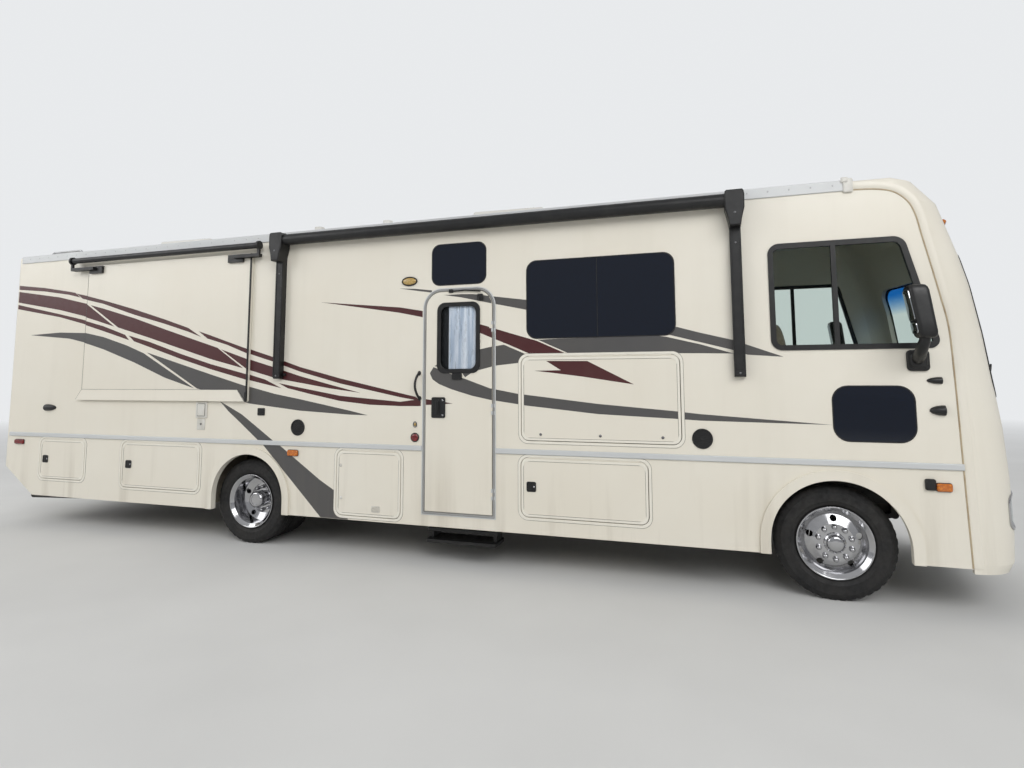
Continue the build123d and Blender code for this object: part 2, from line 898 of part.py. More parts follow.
def make_ladder():
    """Two rails bent over the roof's rear edge, with their rungs."""
    reach = rear_wall - ladder_reach + ladder_bar
    crest = roof_crown + ladder_rise
    landing = rear_wall + ladder_roof_reach
    rails = []
    for y in (ladder_centre - ladder_half, ladder_centre + ladder_half):
        path = FilletPolyline(
            (rear_wall, y, ladder_foot),
            (reach, y, ladder_foot),
            (reach, y, crest),
            (landing, y, crest),
            (landing, y, roof_height(abs(y) - ladder_bar)),
            radius=ladder_bend,
        )
        start = Plane(origin=path @ 0, z_dir=path % 0)
        rails.append(sweep(start * (Rot(0, 0, 45) * Circle(ladder_bar)), path))
    ladder = rails[0] + rails[1]
    for index in range(ladder_rungs):
        level = ladder_first_rung + index * ladder_pitch
        ends = (reach, ladder_centre - ladder_half, level), (reach, ladder_centre + ladder_half, level)
        ladder = ladder + rod(*ends, ladder_bar - 2)
    save("ladder", ladder)


# Cabin furniture and floor


floor_front = 850
engine_hatch = (-420, 900)
engine_hatch_half = 400
stair_inner = 560
stair_plate = 20
stair_side = 12


def make_floor():
    """Cabin floor with the entry's stair, cut round the engine."""
    floor = block((rear_seam, floor_front), (-inner_face, inner_face), (floor_bottom, floor_top))
    first = entry_station
    last = entry_station + entry_width
    floor -= block((first, last), (-inner_face, -stair_inner), (floor_bottom, floor_top))
    floor -= block(engine_hatch, (-engine_hatch_half, engine_hatch_half), (floor_bottom, floor_top))
    low_tread = entry_bottom + entry_frame
    high_tread = (low_tread + floor_top) / 2
    middle = -(inner_face + stair_inner) / 2
    stair = Polyline(
        (-inner_face, low_tread - stair_plate),
        (-inner_face, low_tread),
        (middle - stair_plate, low_tread),
        (middle - stair_plate, high_tread),
        (-stair_inner - stair_plate, high_tread),
        (-stair_inner - stair_plate, floor_top),
        (-stair_inner, floor_top),
        (-stair_inner, high_tread - stair_plate),
        (middle, high_tread - stair_plate),
        (middle, low_tread - stair_plate),
        close=True,
    )
    steps = prism_x(make_face(stair), first, last)
    sides = []
    for x in (first - stair_side, last):
        sides.append(
            block((x, x + stair_side), (-inner_face, -stair_inner), (low_tread - stair_plate, floor_bottom))
        )
    save("floor", floor, steps, *sides)


def make_storage_bays():
    bays = []
    for side, first, last, low, high in storage_doors.values():
        outer = side * inner_face
        inner = side * bay_inner
        box = block((first - bay_margin, last + bay_margin), sorted((inner, outer)), (bay_bottom, floor_bottom))
        room = block(
            (first - bay_margin + bay_wall, last + bay_margin - bay_wall),
            sorted((inner + side * bay_wall, outer)),
            (bay_bottom + bay_wall, floor_bottom - bay_wall),
        )
        bays.append(box - room)
    first, last, low, high = compartment
    edge = bay_wall + compartment_margin
    inner = -inner_face + compartment_depth
    box = block((first - edge, last + edge), (-inner_face, inner), (low - 30, high + 30))
    room = block(
        (first - compartment_margin, last + compartment_margin),
        (-inner_face, inner - bay_wall),
        (low - 30 + bay_wall, high + 30 - bay_wall),
    )
    bays.append(box - room)
    save("storage_bays", *bays)


seat_offset = 700
seat_base_height = 1420
seat_top = 1570
seat_half = 270
seat_back_half = 260


def make_cab_seats():
    """Two chairs: pedestal, cushion and raked back."""
    seats = []
    for side in (right, left):
        centre = side * seat_offset
        base = block((-260, 180), (centre - 160, centre + 160), (floor_top, seat_base_height))
        cushion = block((-300, 240), (centre - seat_half, centre + seat_half), (seat_base_height, seat_top))
        cushion = fillet(cushion.edges().filter_by(Axis.Y), 50)
        back_profile = shape([(-300, 1500), (-160, 1500), (-300, 2330), (-400, 2330)], [20, 20, 40, 40])
        back = prism_y(back_profile, centre - seat_back_half, centre + seat_back_half)
        seats += [base, cushion, back - cushion]
    save("cab_seats", *seats)


dashboard_profile = [(640, 1420), (1150, 1420), (1190, 1640), (700, 1700)]
dashboard_half = 1100
steering_centre = (480, seat_offset, 1800)
steering_foot = (760, seat_offset, 1560)
steering_radius = 210
steering_rim = 15
column_radius = 30


def make_dashboard():
    """Dashboard across the cab with the steering column and wheel."""
    dash = prism_y(shape(dashboard_profile, [40, 10, 10, 60]), -dashboard_half, dashboard_half)
    dash = dash & cap_form(upper_cap_rake, cap_thickness + 4)
    column = rod(steering_centre, steering_foot, column_radius)
    tilt = Plane(origin=steering_centre, z_dir=Vector(steering_foot) - Vector(steering_centre))
    wheel = tilt * Torus(steering_radius, steering_rim)
    spoke = 2 * (steering_radius - steering_rim / 2)
    wheel = wheel + tilt * (Box(spoke, 34, 16) + Box(34, spoke, 16))
    save("dashboard", dash, column - dash - wheel, wheel)


# Chassis


cross_member_half = 40
cross_member_depth = 150
outrigger_half = 30
cross_members = (
    frame_front - 70,
    -1400,
    -3000,
    rear_axle_station + 1191,
    rear_axle_station - 909,
    rear_axle_station - 2609,
    rear_wall + frame_rear_gap + cross_member_half,
)
outriggers = (
    -1150,
    -2800,
    rear_axle_station + 1091,
    rear_axle_station - 209,
    rear_axle_station - 1909,
    rear_axle_station - 3309,
)


def make_frame():
    """Two channel rails, cross members, outriggers under the floor and the hitch receiver."""
    low = frame_top - frame_depth
    back = rear_wall + frame_rear_gap
    members = []
    for side in (right, left):
        outside = side * frame_half_gauge
        web = sorted((side * (frame_half_gauge - frame_web), outside))
        flange = sorted((side * (frame_half_gauge - frame_flange), outside))
        rail = block((back, frame_front), web, (low, frame_top))
        for z in (low, frame_top - frame_web):
            rail += block((back, frame_front), flange, (z, z + frame_web))
        members.append(rail)
    span = frame_half_gauge - frame_web
    for station in cross_members:
        edges = (station - cross_member_half, station + cross_member_half)
        members.append(block(edges, (-span, span), (frame_top - cross_member_depth, frame_top - frame_web)))
    for station in outriggers:
        edges = (station - outrigger_half, station + outrigger_half)
        members.append(block(edges, (-bay_inner, bay_inner), (frame_top, floor_bottom)))
    save("chassis_frame", *members, *hitch_receiver())


receiver_outer = 76.2
receiver_inner = 50.8
receiver_length = 420
receiver_height = 560
receiver_rear = rear_wall + 40
hitch_pin_radius = 8
hitch_pin_setback = 60


def hitch_receiver():
    """Square tube under the tail with its pin hole, and the hanger that it is welded to."""
    tube = block(
        (receiver_rear, receiver_rear + receiver_length),
        (-receiver_outer / 2, receiver_outer / 2),
        (receiver_height - receiver_outer / 2, receiver_height + receiver_outer / 2),
    )
    hole = block(
        (receiver_rear, receiver_rear + receiver_length),
        (-receiver_inner / 2, receiver_inner / 2),
        (receiver_height - receiver_inner / 2, receiver_height + receiver_inner / 2),
    )
    pin_x = receiver_rear + hitch_pin_setback
    pin_ends = (pin_x, -receiver_outer, receiver_height), (pin_x, receiver_outer, receiver_height)
    pin = rod(*pin_ends, hitch_pin_radius)
    hanger_x = receiver_rear + 200
    cross = block(
        (hanger_x, hanger_x + 80),
        (-frame_half_gauge, frame_half_gauge),
        (receiver_height + receiver_outer / 2, frame_top - frame_depth),
    )
    return tube - hole - pin, cross


engine_back = 150
gearbox_back = -500
gearbox_axis = 790


def make_engine():
    """Engine and gearbox as two plain blocks."""
    engine = block((engine_back, 940), (-330, 330), (560, 1300))
    gearbox = block((gearbox_back, engine_back), (-180, 180), (gearbox_axis - 190, gearbox_axis + 190))
    save("engine_block", engine, gearbox)


spring_width = 76
spring_thickness = 42
spring_eye = 34
spring_seat = 60
front_spring = (620, 80)
rear_spring = (760, 40)


def leaf_spring(station, y, clamp_z, half_length, rise):
    """Arched leaf pack clamped at the axle, with its two eyes."""
    edges = (y - spring_width / 2, y + spring_width / 2)
    end_low = clamp_z + rise
    end_high = end_low + spring_thickness
    top = ThreePointArc((-half_length, end_high), (0, clamp_z + spring_thickness), (half_length, end_high))
    bottom = ThreePointArc((half_length, end_low), (0, clamp_z), (-half_length, end_low))
    ends = Line(top @ 1, bottom @ 0) + Line(bottom @ 1, top @ 0)
    leaf = prism_y(Pos(station, 0) * make_face(top + bottom + ends), *edges)
    eye_z = clamp_z + rise + spring_thickness / 2
    for x in (station - half_length, station + half_length):
        leaf += rod((x, edges[0], eye_z), (x, edges[1], eye_z), spring_eye)
        leaf += block((x - 25, x + 25), edges, (eye_z, frame_top - frame_depth))
    return leaf


spring_y = frame_half_gauge - spring_width / 2
front_hub = tyre_radius
rear_hub = tyre_radius


def make_front_axle():
    """Dropped beam with the kingpin bosses, the springs and the tie rod."""
    kingpin_y = front_track_half - kingpin_offset
    drop = 100
    beam = Polyline(
        (-kingpin_y, front_hub + 32),
        (-kingpin_y + 110, front_hub + 32),
        (-560, front_hub - drop + 45),
        (560, front_hub - drop + 45),
        (kingpin_y - 110, front_hub + 32),
        (kingpin_y, front_hub + 32),
        (kingpin_y, front_hub - 32),
        (kingpin_y - 90, front_hub - 32),
        (540, front_hub - drop - 45),
        (-540, front_hub - drop - 45),
        (-kingpin_y + 90, front_hub - 32),
        (-kingpin_y, front_hub - 32),
        close=True,
    )
    axle = prism_x(make_face(beam), -42, 42)
    for side in (right, left):
        y = side * kingpin_y
        axle += rod((0, y, front_hub - 48), (0, y, front_hub + 48), 42)
        axle -= rod((0, y, front_hub - 60), (0, y, front_hub + 60), kingpin_radius + running_gap)
        seat = front_hub - drop + 45
        inner, outer = spring_y - spring_width / 2, spring_y + spring_width / 2
        sides = sorted((side * inner, side * outer))
        axle += block((-spring_seat, spring_seat), sides, (seat, seat + spring_seat))
        axle += leaf_spring(0, side * spring_y, seat + spring_seat, *front_spring)
    save("front_axle", axle)


def make_knuckles():
    """Yoke round the axle's boss with the kingpin, and the spindle that carries the wheel."""
    for side, name in ((right, "right_knuckle"), (left, "left_knuckle")):
        kingpin_y = side * (front_track_half - kingpin_offset)
        wheel_y = side * front_track_half
        plate_in = kingpin_y + side * 48
        plate_out = kingpin_y + side * 68
        yoke = block((-55, 55), sorted((plate_in, plate_out)), (front_hub - 90, front_hub + 90))
        for low in (front_hub - 90, front_hub + 55):
            ear = block((-42, 42), sorted((kingpin_y, plate_out)), (low, low + 35))
            yoke += ear + rod((0, kingpin_y, low), (0, kingpin_y, low + 35), 42)
        yoke += rod((0, kingpin_y, front_hub - 80), (0, kingpin_y, front_hub + 80), kingpin_radius)
        yoke += rod((0, plate_in, front_hub), (0, wheel_y + side * 60, front_hub), spindle_radius)
        arm = block((-260, -40), (kingpin_y - 20, kingpin_y + 20), (front_hub - 90, front_hub - 62))
        save(name, yoke + arm)


axle_tube_radius = 72
banjo_radius = 190
shaft_radius = 45


def make_rear_axle():
    """Banjo housing with its springs and the shaft from the gearbox."""
    station = rear_axle_station
    inner_tyre = rear_track_half - dual_spacing - tyre_width / 2
    tube_end = inner_tyre - 30
    stub_end = rear_track_half - 40
    axle = rod((station, -tube_end, rear_hub), (station, tube_end, rear_hub), axle_tube_radius)
    axle += rod((station, -stub_end, rear_hub), (station, stub_end, rear_hub), rear_stub_radius)
    axle += Pos(station, 0, rear_hub) * Sphere(banjo_radius)
    for side in (right, left):
        sides = sorted((side * (spring_y - spring_width / 2), side * (spring_y + spring_width / 2)))
        axle += block((station - spring_seat, station + spring_seat), sides, (rear_hub, rear_hub + 90))
        axle += leaf_spring(station, side * spring_y, rear_hub + 90, *rear_spring)
    save("rear_axle", axle)
    ends = (station + banjo_radius - 10, 0, rear_hub + 20), (gearbox_back - 4, 0, gearbox_axis - 90)
    save("propshaft", rod(*ends, shaft_radius) - (Pos(station, 0, rear_hub) * Sphere(banjo_radius)))


pipe_bore_radius = 40
silencer_radius = 52
silencer = (-2100, 700)
exhaust_y = -300
exhaust_height = 590
exhaust_tail_height = 312


def make_exhaust():
    """Pipe inside the right rail, with its silencer and the tail that shows below the tail corner."""
    points = [
        (engine_back, exhaust_y, exhaust_height),
        (rear_axle_station - 1909, exhaust_y, exhaust_height),
        (rear_axle_station - 2189, exhaust_y - 120, exhaust_tail_height),
        (rear_axle_station - 2709, -900, exhaust_tail_height),
        (rear_wall + 200, -1010, exhaust_tail_height - 12),
    ]
    path = FilletPolyline(*points, radius=[150, 150, 200])
    pipe = sweep(Plane(origin=path @ 0, z_dir=path % 0) * Circle(pipe_bore_radius), path)
    start, length = silencer
    can = rod((start, exhaust_y, exhaust_height), (start + length, exhaust_y, exhaust_height), silencer_radius)
    save("exhaust", pipe + can)


tank_rear = rear_axle_station - 2259
tank_length = 900


def make_fuel_tank():
    tank = block((tank_rear, tank_rear + tank_length), (-200, 340), (560, 850))
    save("fuel_tank", fillet(tank.edges().filter_by(Axis.X), 60))


step_low = 205
step_plate = 27
step_reach = 20
step_depth = 250


def make_entry_step():
    """Folded step below the entry: tread, housing and two brackets up to the stair."""
    first = entry_station + 40
    last = entry_station + entry_width - 10
    inner = -inner_face + step_depth
    tread = block((first, last), (-inner_face - step_reach, inner), (step_low, step_low + step_plate))
    step = fillet(tread.edges().filter_by(Axis.Z), 25)
    bracket_z = (step_low + step_plate - 7, entry_bottom + entry_frame - stair_plate)
    for x in (first + 20, last - 50):
        step += block((x, x + 30), (-inner_face + 60, inner - 30), bracket_z)
    step += block((first, last), (-inner_face + 30, inner), (300, 330))
    save("entry_step", step)


# Wheels, turned about their axle and set on it with the outer side outward


def tyre_profile():
    """Half section of a tyre: beads, bulged sidewalls and a flat tread."""
    bead = rim_width / 2 - 20
    side = tyre_width / 2
    tread = tread_width / 2
    shoulder = tyre_radius - 12
    bulge = (rim_radius + tyre_radius) / 2 - 10
    foot = rim_radius + 4
    outer = ThreePointArc((foot, bead), (bulge, side), (shoulder, tread + 8))
    turn = Line((shoulder, tread + 8), (tyre_radius, tread - 8))
    face = Line((tyre_radius, tread - 8), (tyre_radius, 8 - tread))
    turn_in = Line((tyre_radius, 8 - tread), (shoulder, -tread - 8))
    inner = ThreePointArc((shoulder, -tread - 8), (bulge, -side), (foot, -bead))
    base = Polyline((foot, -bead), (barrel_radius, -bead), (barrel_radius, bead), (foot, bead))
    return make_face(outer + turn + face + turn_in + inner + base)


def rim_outline(points):
    """Closed half section from (radius, out) points."""
    return make_face(Polyline(*points, close=True))


def barrel_points(lip):
    """Outer side of a rim's barrel between its two flanges."""
    return [
        (rim_radius, lip),
        (rim_radius, lip - 9),
        (barrel_radius, lip - 20),
        (barrel_radius, 20 - lip),
        (rim_radius, 9 - lip),
        (rim_radius, -lip),
    ]


def front_rim():
    """Front rim: barrel, convex disc with hand holes, and hub cover with its bore for the spindle."""
    lip = rim_width / 2
    bore = spindle_radius + running_gap
    inside = barrel_radius - rim_wall
    points = [
        (0, 128), (58, 128), (80, 112), (80, 96), (150, 96), (232, 52), (inside, 46), (inside, lip - 22),
        (rim_radius - 10, lip), *barrel_points(lip), (rim_radius - 10, -lip), (inside, 22 - lip),
        (inside, 30), (228, 34), (146, 80), (85, 80), (85, -40), (170, -40), (170, -66), (bore, -66),
        (bore, 70), (0, 70),
    ]
    rim = revolve(Plane.XY * rim_outline(points), Axis.Y)
    holes = Part()
    for index in range(5):
        angle = radians(72 * index + 18)
        holes += rod((192 * cos(angle), 0, 192 * sin(angle)), (192 * cos(angle), 120, 192 * sin(angle)), 26)
    return rim - holes


def rear_rim():
    """Twin rear rims back to back: deep outer dish with a protruding hub, and the inner barrel."""
    lip = rim_width / 2
    bore = rear_stub_radius + running_gap
    inside = barrel_radius - rim_wall
    back = -dual_spacing
    inner_lip = [(radius, out + back) for radius, out in barrel_points(lip)]
    points = [
        (0, 40), (70, 40), (88, 24), (88, -96), (165, -96), (inside - 6, -70), (inside, lip - 22),
        (rim_radius - 10, lip), *barrel_points(lip), (rim_radius - 10, -lip), (inside, 6 - lip - 22),
        (inside, back + lip + 22), (rim_radius - 10, back + lip), *inner_lip,
        (rim_radius - 10, back - lip), (inside, back - lip + 22), (inside - 6, back + 70),
        (165, back + 96), (bore, back + 96), (bore, -38), (0, -38),
    ]
    rim = revolve(Plane.XY * rim_outline(points), Axis.Y)
    holes = Part()
    for index in range(5):
        angle = radians(72 * index + 18)
        holes += rod((205 * cos(angle), -200, 205 * sin(angle)), (205 * cos(angle), 0, 205 * sin(angle)), 26)
    return rim - holes


def make_wheels():
    front = front_rim()
    rear = rear_rim()
    tyre = revolve(Plane.XY * tyre_profile(), Axis.Y)
    inner_tyre = Pos(0, -dual_spacing, 0) * tyre
    for side, word in ((right, "right"), (left, "left")):
        turn = Rot(0, 0, 180) if side == right else Rot(0, 0, 0)
        front_place = Pos(0, side * front_track_half, front_hub) * turn
        rear_place = Pos(rear_axle_station, side * rear_track_half, rear_hub) * turn
        save(f"front_{word}_rim", front_place * front)
        save(f"front_{word}_tyre", front_place * tyre)
        save(f"rear_{word}_rims", rear_place * rear)
        save(f"rear_{word}_tyres", rear_place * tyre, rear_place * inner_tyre)


os.makedirs("parts", exist_ok=True)
make_walls()
make_skirts()
make_storage_doors()
make_entry()
make_mouldings()
make_arch_flares()
make_roof()
make_rear_cap()
upper_outer = cap_form(upper_cap_rake, 0)
upper_inner = cap_form(upper_cap_rake, cap_thickness)
make_upper_cap(upper_outer, upper_inner)
make_windshield(upper_outer)
make_lower_cap(cap_form(lower_cap_rake, 0), cap_form(lower_cap_rake, cap_thickness))
make_glass()
make_slides()
make_topper()
make_awning()
make_mirrors()
make_lamps()
make_roof_units()
make_ladder()
make_floor()
make_storage_bays()
make_cab_seats()
make_dashboard()
make_frame()
make_engine()
make_front_axle()
make_knuckles()
make_rear_axle()
make_exhaust()
make_fuel_tank()
make_entry_step()
make_wheels()
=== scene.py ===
import math

import bmesh
import bpy
from mathutils import Matrix, Vector
from mathutils.geometry import tessellate_polygon


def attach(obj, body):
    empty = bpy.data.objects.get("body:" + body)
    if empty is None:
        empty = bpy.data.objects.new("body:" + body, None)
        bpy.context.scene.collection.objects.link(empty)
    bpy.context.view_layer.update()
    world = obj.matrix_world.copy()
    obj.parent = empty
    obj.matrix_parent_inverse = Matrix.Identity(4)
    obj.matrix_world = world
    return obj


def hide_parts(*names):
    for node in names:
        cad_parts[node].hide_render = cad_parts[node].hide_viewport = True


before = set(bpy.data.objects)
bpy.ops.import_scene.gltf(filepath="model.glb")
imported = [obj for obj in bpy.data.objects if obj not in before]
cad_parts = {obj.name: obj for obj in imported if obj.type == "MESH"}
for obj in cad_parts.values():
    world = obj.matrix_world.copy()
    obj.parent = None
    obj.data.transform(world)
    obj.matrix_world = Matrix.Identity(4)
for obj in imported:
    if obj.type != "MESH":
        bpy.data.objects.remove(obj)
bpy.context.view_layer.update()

# Sizes in metres. Places along the vehicle are stations from the front axle, as in the part's source

FRONT_AXLE = 4.155
REAR_AXLE = -5.791
HALF_WIDTH = 1.275
REAR_WALL = -9.640
REAR_CORNER = 0.060
RIGHT = -1
LEFT = 1
REAR = "rear"
CAP = "cap"
SIDES = ((RIGHT, "right"), (LEFT, "left"))
BODY = "body"
ENTRY_DOOR = "entry_door"
SQUARE = ((-1, -1), (1, -1), (1, 1), (-1, 1))

# How far a fitted piece's back stands clear of the face it's on
CLEAR = 0.0005
CLOSE = 0.0002


# Colours


def rgb(red, green, blue):
    """Linear colour from sRGB values of 0 to 255."""
    shares = [value / 255 for value in (red, green, blue)]
    return (*(share / 12.92 if share <= 0.04045 else ((share + 0.055) / 1.055) ** 2.4 for share in shares), 1)


DUST = rgb(150, 138, 118)
ROAD_DIRT = rgb(88, 80, 70)
RUST = rgb(92, 54, 34)
BAND_TINT = rgb(96, 172, 226)
BACKDROP = rgb(240, 242, 244)
BACKDROP_LIGHT = 0.93
STUDIO_LIGHT = 0.62
GLASS_IOR = 1.5


def add_node(tree, kind, inputs, output=0, operation=None):
    """Output of a new shader node; each input is a constant or another node's output."""
    node = tree.nodes.new("ShaderNode" + kind)
    if kind == "Mix":
        node.data_type = "RGBA"
    if operation:
        node.operation = operation
    for socket, value in inputs.items():
        if isinstance(value, bpy.types.NodeSocket):
            tree.links.new(value, node.inputs[socket])
        else:
            node.inputs[socket].default_value = value
    return node.outputs[output]


class Look:
    """A procedural material built round one shader."""

    def __init__(self, name, colour, rough, metal=0.0, coat=0.0):
        self.material = bpy.data.materials.new(name)
        self.material.use_nodes = True
        self.tree = self.material.node_tree
        self.shader = self.tree.nodes["Principled BSDF"]
        self.set("Base Color", colour)
        self.set("Roughness", rough)
        self.set("Metallic", metal)
        self.set("Coat Weight", coat)
        self.spot = self.node("TexCoord", {}, "Object")

    def node(self, kind, inputs, output=0, operation=None):
        return add_node(self.tree, kind, inputs, output, operation)

    def set(self, socket, value):
        """Give the shader a constant or a node's output."""
        if isinstance(value, bpy.types.NodeSocket):
            self.tree.links.new(value, self.shader.inputs[socket])
        else:
            self.shader.inputs[socket].default_value = value

    def show(self, shader):
        """Put another shader in front of the material's own."""
        self.tree.links.new(shader, self.tree.nodes["Material Output"].inputs[0])

    def math(self, operation, first, second):
        return self.node("Math", {0: first, 1: second}, operation=operation)

    def times(self, first, second):
        return self.math("MULTIPLY", first, second)

    def texture(self, kind, scale, stretch, output, **settings):
        mapped = self.node("Mapping", {"Scale": stretch, "Vector": self.spot})
        return self.node(kind, {"Scale": scale, "Vector": mapped, **settings}, output)

    def noise(self, scale, detail, stretch=(1, 1, 1)):
        return self.texture("TexNoise", scale, stretch, "Fac", Detail=detail, Roughness=0.55)

    def waves(self, scale, stretch):
        return self.texture("TexWave", scale, stretch, "Fac")

    def height(self):
        return self.node("SeparateXYZ", {0: self.spot}, 2)

    def span(self, value, low, high, to_low=0.0, to_high=1.0):
        return self.node("MapRange", {"From Min": low, "From Max": high, "To Min": to_low, "To Max": to_high,
                                      "Value": value})

    def patches(self, scale, detail, low, high, to_low=0.0, to_high=1.0, stretch=(1, 1, 1)):
        """Noise whose values between low and high spread from one number to another."""
        return self.span(self.noise(scale, detail, stretch), low, high, to_low, to_high)

    def blend(self, factor, first, second):
        return self.node("Mix", {0: factor, 6: first, 7: second}, 2)

    def bump(self, value, strength, distance):
        self.set("Normal", self.node("Bump", {"Strength": strength, "Distance": distance, "Height": value}))

    def surface(self, colour, rough, relief, strength, distance):
        """Set colour, roughness and bump, and give the material."""
        self.set("Base Color", colour)
        self.set("Roughness", rough)
        self.bump(relief, strength, distance)
        return self.material


def painted(name, colour, shade, rough=0.36, coat=0.12, dirt=0.15):
    """Gelcoat: slow tonal change, faint runs, road dust towards the bottom and a fine ripple."""
    look = Look(name, colour, rough, coat=coat)
    look.set("Coat Roughness", 0.12)
    toned = look.blend(look.times(look.patches(0.7, 4, 0.35, 0.7), 0.6), colour, shade)
    runs = look.patches(3.0, 5, 0.52, 0.8, stretch=(1.6, 1.6, 0.12))
    low = look.span(look.height(), 0.3, 1.15, 1.0, 0.12)
    dust = look.times(look.times(runs, low), dirt)
    gloss = look.patches(14, 4, 0.3, 0.7, rough - 0.06, rough + 0.12)
    return look.surface(look.blend(dust, toned, DUST), gloss, look.noise(5, 1), 0.06, 0.004)


def plastic(name, colour, worn, rough, grain=900):
    """Moulded plastic with a fine grain and paler rubbed areas."""
    look = Look(name, colour, rough)
    rubbed = look.blend(look.patches(9, 5, 0.45, 0.8), colour, worn)
    gloss = look.patches(22, 3, 0.3, 0.7, rough - 0.08, rough + 0.1)
    return look.surface(rubbed, gloss, look.noise(grain, 2), 0.12, 0.0006)


def metal(name, colour, rough, smear):
    """Polished or brushed metal with faint smears and dust."""
    look = Look(name, colour, rough, metal=1.0)
    dusty = (*(0.75 * share for share in colour[:3]), 1)
    dulled = look.blend(look.patches(6, 4, 0.5, 0.85), colour, dusty)
    gloss = look.patches(18, 4, 0.3, 0.75, rough, rough + smear)
    return look.surface(dulled, gloss, look.noise(160, 2), 0.03, 0.0005)


def rubber(name, colour, dirt):
    look = Look(name, colour, 0.72)
    dust = look.times(look.patches(5, 5, 0.35, 0.8), 0.22)
    return look.surface(look.blend(dust, colour, dirt), look.patches(30, 3, 0.3, 0.7, 0.6, 0.85),
                        look.noise(420, 3), 0.2, 0.0008)


def coated_steel(name, colour, rough):
    """Painted chassis steel with road dirt and rust bloom."""
    look = Look(name, colour, rough)
    dirty = look.blend(look.times(look.patches(4, 5, 0.4, 0.8), 0.6), colour, ROAD_DIRT)
    rusty = look.blend(look.times(look.patches(11, 6, 0.62, 0.75), 0.6), dirty, RUST)
    gloss = look.patches(25, 3, 0.3, 0.7, rough - 0.1, rough + 0.2)
    return look.surface(rusty, gloss, look.noise(130, 4), 0.15, 0.001)


def fabric(name, colour, shade):
    look = Look(name, colour, 0.85)
    look.set("Sheen Weight", 0.4)
    threads = look.times(look.waves(180, (1, 0, 0)), look.waves(180, (0, 1, 0.7)))
    return look.surface(look.blend(look.patches(30, 4, 0.3, 0.7), colour, shade), 0.85, threads, 0.35, 0.001)


def silvered(name, colour, shade):
    """Silvered blind, slightly glossy, with cloudy upright stripes of painted shade that stand for its
    pleats.
    """
    look = Look(name, colour, 0.32, metal=0.4)
    # Darker upright stripes: painted shade of the blind's pleats
    pleat_shade_streaks = look.blend(look.patches(26, 4, 0.38, 0.66, stretch=(1, 1, 0.05)), shade, colour)
    gloss = look.patches(40, 2, 0.3, 0.7, 0.24, 0.4, (1, 1, 0.1))
    return look.surface(pleat_shade_streaks, gloss, look.noise(90, 2, (1, 1, 0.04)), 0.2, 0.001)


def lens(name, colour, deep):
    """Ribbed lamp lens."""
    look = Look(name, colour, 0.12, coat=0.6)
    cells = look.texture("TexVoronoi", 60, (1, 1, 1), "Distance")
    return look.surface(look.blend(look.span(cells, 0.0, 0.6), colour, deep), 0.12, look.waves(40, (1, 0, 0)),
                        0.3, 0.002)


def tinted(name, colour, rough=0.03, clear=0.0, tint=None, band=None):
    """Tinted glass: a dark mirror that lets a share of light through; band has a coloured strip's edges."""
    look = Look(name, colour, rough)
    look.set("Roughness", look.patches(7, 4, 0.3, 0.8, rough, rough + 0.05))
    look.bump(look.noise(1.6, 2), 0.02, 0.01)
    if clear:
        passed = look.blend(look.span(look.height(), *band), tint, BAND_TINT) if band else tint
        through = look.node("BsdfTransparent", {0: passed})
        # A pane's inner faces don't mirror, or slanting light wouldn't get in
        outer = look.math("SUBTRACT", 1.0, look.node("NewGeometry", {}, "Backfacing"))
        mirror = look.times(look.node("Fresnel", {"IOR": GLASS_IOR}), outer)
        mirror = look.math("ADD", mirror, 1 - clear)
        look.show(look.node("MixShader", {0: mirror, 1: through, 2: look.shader.outputs[0]}))
    return look.material


BODY_PAINT = painted("body_paint", rgb(228, 223, 210), rgb(221, 214, 198), dirt=0.5)
TRIM_PAINT = painted("trim_paint", rgb(233, 229, 217), rgb(222, 217, 204), 0.34, dirt=0.35)
# Moulding paint whose grey-blue tone is painted shade and sky reflection on the belts and rails
MOULDING_PAINT_AND_SHADE = painted("moulding_paint_and_shade", rgb(203, 205, 205), rgb(184, 187, 188), 0.34, dirt=0.3)
ROOF_SKIN = painted("roof_skin", rgb(222, 221, 216), rgb(196, 193, 185), 0.5, 0.0, 0.2)
STRIPE_MAROON = painted("stripe_maroon", rgb(70, 25, 27), rgb(76, 31, 31))
STRIPE_GREY = painted("stripe_grey", rgb(80, 78, 76), rgb(74, 74, 76))
BLACK_PLASTIC = plastic("black_plastic", rgb(15, 15, 16), rgb(32, 32, 31), 0.42)
GREY_PLASTIC = plastic("grey_plastic", rgb(96, 96, 94), rgb(120, 119, 114), 0.45)
WHITE_PLASTIC = plastic("white_plastic", rgb(212, 210, 203), rgb(186, 182, 172), 0.4)
SEALANT = plastic("sealant", rgb(176, 160, 132), rgb(140, 118, 88), 0.6)
# Grey lines: painted shadow of gaps and grooves, and sealant
SHADOW_SEALANT_LINE = plastic("shadow_and_sealant_line", rgb(132, 128, 120), rgb(104, 100, 93), 0.6)
INTERIOR = plastic("interior_panel", rgb(150, 142, 128), rgb(128, 120, 106), 0.6, 300)
RUBBER = rubber("tyre_rubber", rgb(20, 20, 21), rgb(74, 69, 62))
CHROME = metal("chrome", rgb(186, 186, 188), 0.07, 0.12)
DARK_CHROME = metal("dark_chrome", rgb(120, 120, 122), 0.25, 0.2)
ALUMINIUM = metal("ladder_metal", rgb(178, 179, 180), 0.3, 0.15)
MIRROR = metal("mirror_glass", rgb(196, 200, 204), 0.02, 0.02)
CHASSIS = coated_steel("chassis_steel", rgb(30, 30, 31), 0.55)
ENGINE_IRON = coated_steel("engine_iron", rgb(70, 68, 66), 0.6)
DARK_GLASS = tinted("dark_glass", rgb(4, 13, 29))
CLEAR_GLASS = tinted("clear_glass", rgb(20, 24, 24), 0.02, 0.97, rgb(246, 250, 248))
